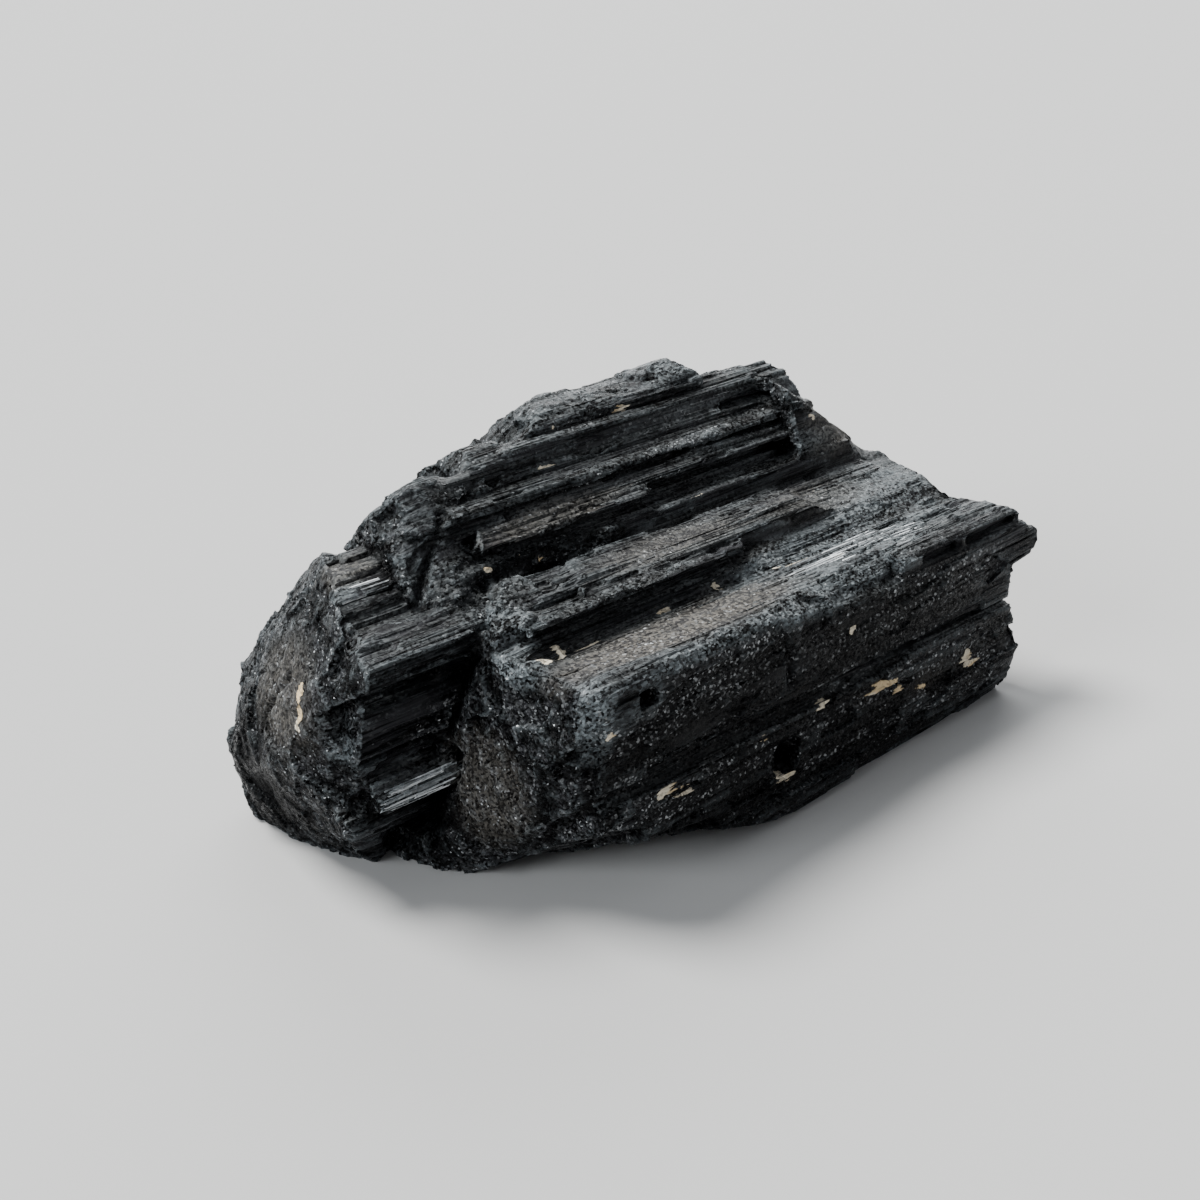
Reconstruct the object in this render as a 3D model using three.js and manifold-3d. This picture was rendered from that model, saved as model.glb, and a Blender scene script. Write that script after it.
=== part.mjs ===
/**
 * Raw black tourmaline: a hand-sized broken block of schorl.
 *
 * The block is one natural solid, a bundle of parallel crystals that grew into each other. Every crystal is
 * an outline drawn across the bundle and extruded along it. The block is the union of them all, with the
 * chips and pockets of the broken surface cut away.
 *
 * Millimetres. X runs along the crystals, Y across them, Z up. The block lies on Z = 0.
 */
import * as THREE from 'three';
import { ConvexGeometry } from 'three/addons/geometries/ConvexGeometry.js';
import { mergeVertices } from 'three/addons/utils/BufferGeometryUtils.js';
import Module from 'manifold-3d';

const wasm = await Module();
wasm.setup();

// Driving dimensions.
const DIP = -0.029; // the crystals drop by this much for each millimetre along X
const NEAR_END = -59; // the broken face at the near end of the main block
const FAR_END = 81; // where the main block breaks off at the far end
const FRONT = -48; // the tall striated face along the front
const TERRACE = 50.3; // height of the wide terrace above the front face
const CREST = 85.8; // height of the highest crystals
const FLOOR = 0; // the block rests here
const CUT_DEPTH = 40; // how far the cutting tools reach below the floor
const CUT_WIDTH = 400; // how wide the cut along the floor is
const BULGE = 0.12; // how far a crystal's outline leaves a circle, as part of its radius
const SAME_POINT = 1e-4; // points closer than this are one

const SCHORL = new THREE.MeshStandardMaterial({ color: 0x1b1d20, roughness: 0.42, metalness: 0 });

/**
 * Turns an outline drawn in Y and Z into a solid between two ends.
 * A lean moves an end along X, for each millimetre of Y and of Z.
 */
function extrudeAlong({ outline, from, to, fromLean = [0, 0], toLean = [0, 0] }) {
  const shape = new THREE.Shape(outline.map(([y, z]) => new THREE.Vector2(y, z)));
  const geometry = new THREE.ExtrudeGeometry(shape, { depth: 1, steps: 1, bevelEnabled: false });
  const alongX = new THREE.Matrix4().makeBasis(
    new THREE.Vector3(0, 1, 0),
    new THREE.Vector3(0, 0, 1),
    new THREE.Vector3(1, 0, 0),
  );
  geometry.applyMatrix4(alongX);
  const points = geometry.attributes.position;
  const middle = new THREE.Box3().setFromBufferAttribute(points).getCenter(new THREE.Vector3());
  for (let i = 0; i < points.count; i += 1) {
    const isFar = points.getX(i) > middle.x;
    const lean = isFar ? toLean : fromLean;
    const y = points.getY(i) - middle.y;
    const z = points.getZ(i) - middle.z;
    points.setX(i, (isFar ? to : from) + lean[0] * y + lean[1] * z);
  }
  geometry.applyMatrix4(new THREE.Matrix4().makeShear(0, DIP, 0, 0, 0, 0));
  return geometry;
}

/** The rounded-triangle outline of a single tourmaline crystal. */
function crystalOutline({ y, z, radius, turn, sides = 9 }) {
  return Array.from({ length: sides }, (_, i) => {
    const angle = THREE.MathUtils.degToRad(turn) + (2 * Math.PI * i) / sides;
    const reach = radius * (1 + BULGE * Math.cos(3 * (angle - THREE.MathUtils.degToRad(turn))));
    return [y + reach * Math.cos(angle), z + reach * Math.sin(angle)];
  });
}

/** A lump or a cutting tool with flat sides around a few corner points. */
function lump(corners) {
  return new ConvexGeometry(corners.map(([x, y, z]) => new THREE.Vector3(x, y, z)));
}

function toManifold(geometry) {
  const bare = geometry.clone();
  bare.deleteAttribute('normal');
  bare.deleteAttribute('uv');
  const merged = mergeVertices(bare, SAME_POINT);
  return new wasm.Manifold(
    new wasm.Mesh({
      numProp: 3,
      vertProperties: new Float32Array(merged.attributes.position.array),
      triVerts: new Uint32Array(merged.index.array),
    }),
  );
}

function toGeometry(manifold) {
  const mesh = manifold.getMesh();
  const geometry = new THREE.BufferGeometry();
  geometry.setAttribute('position', new THREE.BufferAttribute(new Float32Array(mesh.vertProperties), 3));
  geometry.setIndex(new THREE.BufferAttribute(new Uint32Array(mesh.triVerts), 1));
  return geometry;
}

// The big masses, from the bottom up.
const masses = [
  {
    // main block: tall front face with one long groove, a terrace on top, a rounded back
    outline: [
      [-44, -4], [-48, 4], [-49, 11], [-49, 18], [-48.2, 24.4], [-45.6, 25.2], [-45.6, 27.2],
      [-47.8, 28.4], [FRONT, 38], [-47.6, 48.4], [-46.6, TERRACE], [-43.8, 51.2], [-42.8, TERRACE],
      [-29, TERRACE], [-22, 54], [-8, 57], [24, 52], [42, 37], [49, 26], [49, 10], [44, -4],
    ],
    from: NEAR_END,
    to: FAR_END,
    fromLean: [-0.03, 0.02],
    toLean: [-0.05, -0.04],
  },
  {
    // the core of the upper block
    outline: [
      [-8, 50], [-4.4, 62.6], [-4.4, 66], [-0.5, 68.2], [3, 72], [6, 76], [10, 77.6],
      [19, 71], [29, 62], [38, 52], [46, 40],
    ],
    from: -46,
    to: 62,
    fromLean: [0.1, 0.25],
    toLean: [-0.1, -0.3],
  },
  {
    // behind the crest
    outline: [[10, 60], [10, 78], [18, 77], [27, 73], [33.6, 70.4], [37, 58], [30, 52]],
    from: -12,
    to: 46,
    toLean: [-0.2, -0.5],
  },
];

// The steps above the terrace, from the front edge back to the crest.
const steps = [
  // shelf with an undercut, above the terrace
  {
    outline: [[-24.5, 50], [-24.5, 55], [-28.6, 55.3], [-28, 56.6], [-23.6, 57], [-20, 56.6], [-20, 50]],
    from: -56, to: 9, fromLean: [0.4, 0], toLean: [0.6, 0.5],
  },
  {
    outline: [[-30, 48], [-29.2, TERRACE], [-27.6, 53], [-22, 53.2], [-22, 48]],
    from: -57, to: 11, toLean: [0.5, 0.6],
  },
  // dusty slope where the shelf has broken away
  {
    outline: [[-30, 46], [-29.4, TERRACE], [-23, 54.2], [-11, 57.6], [-8, 57], [-8, 46]],
    from: -6, to: 75.5, fromLean: [0.2, 0], toLean: [-0.7, 0.1],
  },
  // broad clean prism face
  {
    outline: [[-24, 50], [-23.4, 57], [-22.4, 57.7], [-11, 58.7], [-9.4, 57.4], [-9, 50]],
    from: -31, to: 45, fromLean: [0.5, -0.8], toLean: [0.2, -2.2],
  },
  {
    outline: [[-24, 50], [-23, 55.8], [-18.5, 57.4], [-12, 57.8], [-9.6, 56.6], [-9, 50]],
    from: -60, to: -29, fromLean: [0.3, 0.3],
  },
  {
    outline: [[-19, 54], [-18, 58.4], [-14.5, 60], [-11.4, 59.6], [-8, 58], [-8, 52]],
    from: -57, to: -41, fromLean: [0.3, 0.4], toLean: [0, -0.8],
  },
  // first riser
  {
    outline: [[-10.8, 50], [-10.2, 59.6], [-9.4, 63], [-4, 63.3], [0, 60], [0, 50]],
    from: -62, to: 69, fromLean: [0.2, 0.5], toLean: [-0.3, -0.3],
  },
  // its overhanging neighbour, and the blunt end above the deep slot
  {
    outline: [[-5, 62], [-5.4, 64.8], [-8.8, 65], [-8.2, 66.6], [-3, 69], [-0.6, 68.4], [1, 62]],
    from: -49, to: -2, fromLean: [0.4, 0.6], toLean: [-0.4, 0.3],
  },
  {
    outline: [[-3, 64], [-3.6, 66.2], [-6, 66.4], [-5.4, 68], [-2.8, 69], [-0.6, 68.6], [1, 64]],
    from: -6, to: 52, toLean: [0, -0.5],
  },
  // second ridge, undercut all along
  {
    outline: [[0.9, 63], [-0.4, 70.1], [-2.4, 70.6], [-1.8, 71.8], [2, 72.4], [4, 71], [4, 62]],
    from: -58, to: 64, fromLean: [0.2, 0.5], toLean: [0, -0.4],
  },
  {
    outline: [[-3, 67], [-2.2, 71], [1, 71.6], [1, 67]],
    from: -57, to: -11, toLean: [0, 0.5],
  },
  {
    outline: [[-3, 67], [-2.4, 70.8], [1, 71.2], [1, 67]],
    from: 17, to: 22, fromLean: [-0.4, 0.3], toLean: [0.3, 0.5],
  },
  // dark smooth riser under the crest
  {
    outline: [[2, 68], [2.4, 73], [3.6, 74.8], [6, 78.4], [9.4, 78.6], [11, 68]],
    from: -34, to: 63.5, fromLean: [0.6, 0.5], toLean: [-0.2, 0.3],
  },
  {
    outline: [[1.6, 68], [2, 74], [5, 76.4], [8, 76.4], [8, 68]],
    from: -58, to: -38, fromLean: [0.2, 0.4], toLean: [0, -0.5],
  },
];

// The crest, broken into five stretches.
const crest = [
  {
    outline: [
      [9.4, 68], [9, 78.8], [7.4, 79.4], [8.4, 81.4], [12, 83.2], [17, 83.6], [21, 80.6], [26, 75.4], [33, 67],
    ],
    from: -22, to: 24, fromLean: [0.5, 1.1], toLean: [0, -0.3],
  },
  {
    outline: [
      [9.4, 68], [9, 79], [7.6, 80.6], [9.6, 83.6], [13, CREST], [17, 84.2], [22, 81], [27, 77.6], [33, 70],
    ],
    from: 17, to: 33, fromLean: [0.2, 0.7], toLean: [-0.2, -0.5],
  },
  {
    outline: [[9.4, 68], [9, 78.8], [7.4, 79], [8.6, 79.8], [11, 80.2], [18, 77.2], [26, 73.6], [33, 66]],
    from: 27, to: 56, toLean: [-0.3, 0.1],
  },
  {
    outline: [[3, 68], [5, 76.4], [8.6, 79.4], [12, 80], [16, 77], [24, 70], [31, 63], [33, 56]],
    from: -46, to: -20, fromLean: [0.2, 0.7], toLean: [0, -0.9],
  },
  {
    outline: [[2, 66], [4, 75.4], [7, 77.8], [11, 75.4], [18, 69.6], [28, 60], [34, 50]],
    from: -56, to: -43, fromLean: [0.35, 0.3], toLean: [0, -0.4],
  },
];

// Crystals of the front face that end in steps at the far end, with one spur that sticks out.
const frontBundle = [
  {
    outline: [[-47.4, 36.6], [-48.2, 40], [-47.6, 43.6], [-36, 45], [-36, 36]],
    from: 40, to: 91, toLean: [-0.5, 0.35],
  },
  {
    outline: [[-47.4, 43], [-47.4, 45.8], [-34, 47.4], [-34, 42]],
    from: 40, to: 88.5, toLean: [-0.3, -0.6],
  },
  {
    outline: [[-46.4, 46], [-47.2, 48.6], [-46.4, TERRACE], [-27, TERRACE], [-27, 44]],
    from: 40, to: 84.5, toLean: [-0.2, -0.5],
  },
  {
    outline: [[-46, 27.6], [-47.6, 29], [-47.8, 36], [-30, 36], [-30, 27]],
    from: 40, to: 80, toLean: [0.1, 0.4],
  },
  {
    outline: [[-46, 19], [-48.6, 19], [-48, 26], [-33, 27], [-33, 19]],
    from: 40, to: 82.5, toLean: [-0.2, -0.2],
  },
  {
    outline: [[-46, 12], [-49.2, 13], [-49, 19.6], [-30, 20], [-30, 12]],
    from: 40, to: 85.5, toLean: [-0.1, -0.5],
  },
  {
    outline: [[-44, 2], [-47.6, 4], [-48.8, 13], [-26, 14], [-26, 2]],
    from: 40, to: 84, toLean: [-0.1, 0.6],
  },
];

// Crystals that close the back, where the block falls to the floor.
const backBundle = [
  { y: 31, z: 58, radius: 12, turn: 30, from: -22, to: 64, fromLean: [0.5, 0.7], toLean: [0.2, -0.5] },
  { y: 30, z: 48, radius: 12, turn: 0, from: -50, to: 70, fromLean: [0.1, 0.5], toLean: [-0.3, -0.2] },
  {
    y: 38, z: 60, radius: 6.5, turn: 75, sides: 7,
    from: -16, to: 33, fromLean: [0.8, 0.4], toLean: [-0.7, 0.5],
  },
  {
    y: 25, z: 69, radius: 7.5, turn: 20, sides: 7,
    from: -16, to: 42, fromLean: [0.6, 0.9], toLean: [-0.4, -0.8],
  },
  { y: 43, z: 49, radius: 8, turn: 10, from: -32, to: 73, fromLean: [0.9, 0.3], toLean: [-0.2, 0.4] },
  {
    y: 48.6, z: 54, radius: 3.4, turn: 35, sides: 6,
    from: 4, to: 57, fromLean: [0.5, 0.5], toLean: [-0.6, 0.8],
  },
  {
    y: 50, z: 43, radius: 6.5, turn: 50, sides: 7,
    from: -20, to: 83, fromLean: [1, -0.4], toLean: [0.3, -0.6],
  },
  { y: 46, z: 31, radius: 11, turn: 80, from: -48, to: 78, fromLean: [0.6, 0.2], toLean: [-0.3, -0.2] },
  {
    y: 55, z: 21, radius: 6.5, turn: 20, sides: 7,
    from: -40, to: 58, fromLean: [0.9, -0.5], toLean: [-0.8, 0.3],
  },
  { y: 48, z: 11, radius: 9, turn: 65, from: -55, to: 71, fromLean: [0.5, -0.3], toLean: [-0.4, -0.4] },
  {
    y: 56, z: 33, radius: 4.5, turn: 0, sides: 6,
    from: 8, to: 80, fromLean: [0.7, 0.6], toLean: [-0.5, 0.5],
  },
  {
    y: 57, z: 8, radius: 4.4, turn: 40, sides: 6,
    from: -22, to: 44, fromLean: [0.6, -0.8], toLean: [-0.9, -0.3],
  },
  {
    y: 57.5, z: 14, radius: 3, turn: 15, sides: 6,
    from: 6, to: 68, fromLean: [0.5, 0.4], toLean: [-0.5, 0.6],
  },
  {
    y: 37, z: 66, radius: 3.6, turn: 5, sides: 6,
    from: -6, to: 24, fromLean: [0.9, 0.9], toLean: [-0.8, -0.6],
  },
  { y: 35, z: 24, radius: 13, turn: 45, from: -60, to: 60, fromLean: [0.3, -0.2] },
];

// Crystals inside the far end, each broken off at its own length.
const endBundle = [
  { y: -20, z: 38, radius: 11, turn: 40, from: 50, to: 85, toLean: [0.15, -0.3] },
  { y: -2, z: 44, radius: 12, turn: 0, from: 50, to: 78, toLean: [-0.2, -0.35] },
  { y: -14, z: 17, radius: 13, turn: 70, from: 50, to: 87, toLean: [-0.25, 0.2] },
  { y: 12, z: 24, radius: 14, turn: 25, from: 50, to: 84, toLean: [0.2, -0.25] },
  { y: 20, z: 50, radius: 12, turn: 55, from: 40, to: 71, toLean: [-0.1, -0.5] },
  { y: 34, z: 20, radius: 12, turn: 90, from: 50, to: 86, toLean: [-0.3, 0.15] },
  { y: 34, z: 40, radius: 11, turn: 10, from: 50, to: 79, toLean: [0.25, -0.4] },
  { y: -36, z: 30, radius: 8, turn: 15, sides: 7, from: 50, to: 83, toLean: [-0.3, 0.3] },
  { y: -32, z: 10, radius: 9, turn: 50, sides: 7, from: 50, to: 85, toLean: [0.3, 0.4] },
  { y: 2, z: 9, radius: 8, turn: 20, sides: 7, from: 50, to: 90, toLean: [0.4, 0.2] },
  { y: -8, z: 31, radius: 6, turn: 60, sides: 6, from: 50, to: 88, toLean: [0.6, 0.3] },
  { y: 22, z: 36, radius: 6.5, turn: 35, sides: 7, from: 50, to: 87, toLean: [-0.5, -0.4] },
  { y: 21, z: 8, radius: 6, turn: 10, sides: 6, from: 50, to: 89, toLean: [-0.4, 0.5] },
  { y: 44, z: 12, radius: 6, turn: 80, sides: 6, from: 50, to: 82, toLean: [0.5, -0.5] },
  { y: 8, z: 56, radius: 6, turn: 45, sides: 6, from: 40, to: 76, toLean: [0.3, -0.7] },
];

// The near end of the main block: flat breaks around a few corner points.
const nearEnd = [
  // above the lobe
  [
    [-56, 3, 79.6], [-62, 4, 79], [-66, 7, 75.6], [-68, 0, 69], [-68, -8, 62], [-60, -13, 61], [-52, -9, 62],
    [-50, 5, 79], [-48, 10, 78], [-54, 20, 68], [-62, 20, 65], [-66, 14, 69], [-50, 0, 50], [-68, 4, 58],
  ],
  // beside the lobe
  [
    [-59, -46.6, 51.6], [-62, -35, 46], [-61.6, -24, 55], [-63, -20, 44], [-62.4, -17, 24], [-65, -10, 1],
    [-69, 3, -2], [-60, -15, -2], [-62, -24, 12], [-61, -44, 27], [-62, -40, 38], [-52, -44, 50], [-52, -44, 26],
    [-50, -10, 54], [-50, -10, 0], [-66, 6, 3], [-60, 10, 4],
  ],
];

// The slanting break where the upper block ends, above the far end.
const shoulder = [
  [48, 12, 79], [60, 12, 72.5], [70, 10, 63.5], [50, -4, 76], [58.5, -5, 70.2], [68.6, -5.4, 62.7],
  [79, -6, 53.4], [81, 6, 48], [50, -10, 60], [74, -11, 53], [50, 20, 60], [80, 10, 40], [50, -8, 48],
];

// The deep hollow between the near end and the lobe.
const hollow = [
  [-76, -12, 30], [-54, -19, 30], [-56, -18, 20], [-57, -10, 9], [-76, -2, 5], [-76, 10, 9], [-57, 8, 9],
  [-76, 6, 32], [-54, 4, 32],
];

// The lobe that stands forward of the near end: stepped prism faces on its right side.
const lobe = [
  {
    outline: [
      [-12, 46], [-18.4, 51], [-19.2, 55.2], [-13, 57.4], [-12.4, 58.4], [-6.4, 60.2], [-5.6, 62], [1.6, 64.6],
      [2.6, 66], [9, 67], [17, 62], [29, 54], [40, 42], [44, 30], [43, 14], [36, -4], [12, -4],
      [6, 8], [-2, 15], [-10, 20], [-14.4, 23], [-11.6, 26], [-10.4, 36],
    ],
    from: -66, to: -50,
  },
  {
    outline: [[-13, 48], [-18.6, 50.6], [-19.2, 55], [-12, 57.2], [-4, 52]],
    from: -87, to: -60, fromLean: [0.3, 0.1],
  },
  {
    outline: [[-10, 52], [-12.4, 57.6], [-6.6, 60], [2, 58], [2, 50]],
    from: -84, to: -60, fromLean: [0.2, 0.3],
  },
  {
    outline: [[-4, 56], [-6, 61], [1.2, 64.4], [2.4, 65.8], [8, 66.6], [14, 58]],
    from: -81, to: -60, fromLean: [0.3, 0.5],
  },
  {
    outline: [[-9, 18], [-14.2, 21.6], [-13, 24.6], [2, 30], [6, 18]],
    from: -82, to: -60, fromLean: [0.35, -0.2],
  },
  {
    outline: [[-2, 9], [-8.4, 15.4], [-9, 19], [4, 24], [8, 10]],
    from: -86, to: -62, fromLean: [0.4, -0.3],
  },
  {
    outline: [[-8, 28], [-11.4, 33], [-11, 44], [-2, 50], [4, 30]],
    from: -84, to: -58, fromLean: [0.2, 0.2],
  },
];

// The rounded, granular end of the lobe.
const lobeEnd = [
  // upper part
  [
    [-69, 20, 65], [-74, 11, 68], [-80, 3, 66], [-84, -5, 62], [-89, -14, 56], [-88, -14, 50], [-90, -4, 44],
    [-89, 10, 40], [-85, 24, 38], [-62, 34, 55], [-66, 35, 52], [-70, 44, 40], [-76, 38, 38],
    [-60, -6, 50], [-60, 20, 60], [-60, 42, 40],
  ],
  // lower part
  [
    [-90, -4, 44], [-85, -9, 32], [-83, -10, 24], [-87, -5, 17], [-80, 1, 6], [-71, 4, -2], [-76, 15, -2],
    [-79, 28, -2], [-80, 38, -1], [-77, 44, 4], [-79, 47, 15.5], [-73, 47, 31], [-70, 44, 40], [-85, 24, 38],
    [-91, 6, 34], [-89, 18, 24], [-85, 35, 18], [-60, 2, 34], [-60, 14, -2], [-60, 44, 4], [-60, 44, 36],
  ],
];

// Chips broken out of the block, and the small square pocket low on the front face.
const chips = [
  // three steps under the near end of the front face, rising towards the end
  [
    [-68, -52, 27], [-45.5, -52, 20], [-68, -9, -2], [-45.5, -14, -2],
    [-68, -52, -CUT_DEPTH], [-45.5, -52, -CUT_DEPTH], [-68, -9, -CUT_DEPTH], [-45.5, -14, -CUT_DEPTH],
  ],
  [
    [-47, -52, 16.6], [-42, -52, 13.6], [-24, -52, 12.6], [-47, -15, -2], [-34, -20, -2], [-24, -28, -2],
    [-47, -52, -CUT_DEPTH], [-24, -52, -CUT_DEPTH], [-47, -15, -CUT_DEPTH], [-24, -28, -CUT_DEPTH],
  ],
  [
    [-26, -52, 10.8], [-9, -52, 5.2], [4, -52, 1.2], [-26, -30, -2], [-9, -36, -2], [4, -45, -2],
    [-26, -52, -CUT_DEPTH], [4, -52, -CUT_DEPTH], [-26, -30, -CUT_DEPTH], [4, -45, -CUT_DEPTH],
  ],
  // under the far end
  [
    [58, -52, 2.4], [94, -52, 6], [58, -44, -2], [94, -42, -2],
    [58, -52, -CUT_DEPTH], [94, -52, -CUT_DEPTH], [58, -44, -CUT_DEPTH], [94, -42, -CUT_DEPTH],
  ],
  // slot in the riser under the crest
  [
    [34, 1, 72.6], [34, 6.4, 72.6], [54, 6.4, 72], [54, 1, 72],
    [36, 2, 75.4], [36, 6.4, 75], [53, 2, 74.8], [53, 6.4, 74.4],
  ],
  // square pocket
  [
    [-5.6, -53, 12.8], [2.4, -53, 12.6], [2.4, -53, 19.2], [-5.6, -53, 19.6],
    [-5, -42, 13.2], [1.8, -42, 13], [1.8, -42, 18.6], [-5, -42, 19],
  ],
  // notch under the front edge
  [
    [-46.8, -52, 43.6], [-42.6, -52, 44], [-42.6, -52, 49.2], [-47, -52, 49],
    [-46.2, -43.4, 44.4], [-43, -43.4, 44.6], [-43, -43.4, 48.8], [-46.4, -43.4, 48.6],
  ],
  // the front edge is broken off in two slants towards the far end
  [
    [-9, -52, 47.5], [22, -52, 41.6], [22, -38, 51.4], [-9, -38, 56.2],
    [-9, -52, 62], [22, -52, 62], [22, -38, 62], [-9, -38, 62],
  ],
  [
    [14, -52, 42.4], [38, -52, 39.6], [38, -38, 50], [14, -38, 54],
    [14, -52, 62], [38, -52, 62], [36, -38, 62], [14, -38, 62],
  ],
  // long dark facets under the front edge at the far end
  [
    [45, -52, 45.4], [61, -52, 44.8], [45, -52, 48.6], [61, -52, 48],
    [46, -45.4, 46], [60, -45.4, 45.4], [47, -46, 48], [60, -46, 47.4],
  ],
  [
    [62, -52, 44.6], [86, -52, 44], [62, -52, 47.8], [86, -52, 47.2],
    [63, -44.6, 45], [84, -44.6, 44.2], [63, -45, 47.4], [84, -45, 46.8],
  ],
  // deep slot in front of the second ridge, behind the blunt end
  [
    [-1.6, -11, 62.4], [-1.6, -11, 66.2], [-1, 0.6, 62.2], [-1, 0.6, 66],
    [49, -11, 61], [49, -11, 64.6], [48, 0.6, 60.8], [48, 0.6, 64.4],
  ],
  // slant across the top of the far end
  [
    [58, -10, 92], [100, -10, 92], [64, -10, 66], [100, -10, 54],
    [58, 60, 92], [100, 60, 92], [66, 60, 60], [100, 60, 40],
  ],
];

const floorCut = new THREE.BoxGeometry(CUT_WIDTH, CUT_WIDTH, 2 * CUT_DEPTH);
floorCut.translate(0, 0, FLOOR - CUT_DEPTH);

/** Joins extruded crystals and lumps to a solid, or starts one. */
function grow(crystals, lumps, start) {
  const pieces = [...crystals.map(extrudeAlong), ...lumps.map(lump)].map(toManifold);
  return pieces.reduce((whole, piece) => (whole ? whole.add(piece) : piece), start);
}

function buildBlock() {
  const fromCircle = ({ y, z, radius, turn, sides, ...ends }) => ({
    outline: crystalOutline({ y, z, radius, turn, sides }),
    ...ends,
  });
  const circles = [...backBundle, ...endBundle].map(fromCircle);
  const mainBlock = grow([...masses, ...steps, ...crest, ...frontBundle, ...circles], [...nearEnd, shoulder]);
  const hollowed = mainBlock.subtract(toManifold(lump(hollow)));
  const whole = grow(lobe, lobeEnd, hollowed);
  const chipped = chips.reduce((rest, corners) => rest.subtract(toManifold(lump(corners))), whole);
  return chipped.subtract(toManifold(floorCut));
}

const block = toGeometry(buildBlock());
block.computeBoundingBox();
const centre = block.boundingBox.getCenter(new THREE.Vector3());
block.translate(-centre.x, -centre.y, 0);

const tourmaline = new THREE.Mesh(block, SCHORL);
tourmaline.name = 'tourmaline';

const stone = new THREE.Group();
stone.add(tourmaline);

export default stone;
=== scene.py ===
"""Raw black tourmaline: the finished surface of the stone, its loose grains, its finishes and the studio.

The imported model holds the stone's masses, steps and large chips. This script grows the fine surface on them:
strips and striations along the crystals, broken granular ends, worn edges, cracks and mineral crusts.

Lengths are in millimetres unless a comment says otherwise. X runs along the crystals, Z is up.
"""

import itertools
import logging
import math
from dataclasses import dataclass, field
from enum import Enum

import bmesh
import bpy
import numpy as np
from mathutils import Matrix, Vector
from mathutils.bvhtree import BVHTree


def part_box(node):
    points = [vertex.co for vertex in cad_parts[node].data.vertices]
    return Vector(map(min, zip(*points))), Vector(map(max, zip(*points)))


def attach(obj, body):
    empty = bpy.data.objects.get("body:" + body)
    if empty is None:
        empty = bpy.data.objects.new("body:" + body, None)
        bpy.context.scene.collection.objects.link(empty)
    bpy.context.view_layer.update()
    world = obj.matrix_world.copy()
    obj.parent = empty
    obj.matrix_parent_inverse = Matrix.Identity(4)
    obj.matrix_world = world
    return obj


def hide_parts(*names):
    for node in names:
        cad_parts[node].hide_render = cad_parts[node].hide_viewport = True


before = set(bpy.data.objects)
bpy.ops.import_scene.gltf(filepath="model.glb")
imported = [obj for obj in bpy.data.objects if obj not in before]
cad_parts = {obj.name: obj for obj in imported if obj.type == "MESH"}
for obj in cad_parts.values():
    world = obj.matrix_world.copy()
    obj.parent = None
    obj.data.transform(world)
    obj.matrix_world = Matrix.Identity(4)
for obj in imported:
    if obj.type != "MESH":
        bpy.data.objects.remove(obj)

LOG = logging.getLogger("tourmaline")
METRE = 1000.0  # millimetres
INSET = 1e-3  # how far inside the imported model's box every point stays
NODE = "tourmaline"
BODY = "root"
DIP = 0.029  # the crystals drop by this much for each millimetre along X
PACE = 0.6  # how often the calmest rod is snapped across, in its usual length
PACE_SPREAD = 0.8  # how much more often the busiest one is
STAGGER = 9.0  # how far the snaps of two rods can be shifted, in the usual length
FEW_GLINTS = 0.36  # how many grains get a painted glint away from the glittering patches

Triple = tuple[float, float, float]
Colour = tuple[float, float, float, float]
Socket = bpy.types.NodeSocket
Value = Socket | float | tuple[float, ...]


def eased(value: np.ndarray, low: float, high: float) -> np.ndarray:
    """Ramps smoothly from 0 to 1.

    Args:
        value: The numbers to ramp.
        low: Where the ramp is 0.
        high: Where the ramp is 1.

    Returns:
        The ramp, one number for each value.
    """
    t = np.clip((value - low) / (high - low), 0.0, 1.0)
    return t * t * (3.0 - 2.0 * t)


def boxed(points: np.ndarray) -> np.ndarray:
    """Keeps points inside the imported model's box.

    Args:
        points: The points.

    Returns:
        The points, with those outside moved to the box's sides.
    """
    low, high = (np.array(corner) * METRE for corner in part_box(NODE))
    return np.clip(points, low + INSET, high - INSET)


def gathered(
    items: bpy.types.bpy_prop_collection, name: str, width: int, kind: type = np.float32
) -> np.ndarray:
    """Reads one property of all of a mesh's items.

    Args:
        items: The points, edges, triangles or surface values.
        name: The property.
        width: How many numbers it has.
        kind: Their type.

    Returns:
        One row for each item.
    """
    values = np.empty(len(items) * width, kind)
    items.foreach_get(name, values)
    return values.reshape(-1, width)


def linked(name: str, data: bpy.types.ID) -> bpy.types.Object:
    """Puts a new object in the scene.

    Args:
        name: The object's name.
        data: Its mesh, lamp or camera.

    Returns:
        The object, at the origin.
    """
    thing = bpy.data.objects.new(name, data)
    bpy.context.scene.collection.objects.link(thing)
    return thing


def applied(thing: bpy.types.Object) -> bpy.types.Mesh:
    """A new mesh with an object's modifiers applied."""
    return bpy.data.meshes.new_from_object(thing.evaluated_get(bpy.context.evaluated_depsgraph_get()))


@dataclass(frozen=True)
class Cells:
    """What each point knows of its cell."""

    value: np.ndarray  # a random number from 0 to 1, the same all over the cell
    slope: np.ndarray  # a random tilted plane through the cell's centre
    border: np.ndarray  # 0 at the border with the next cell


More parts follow.
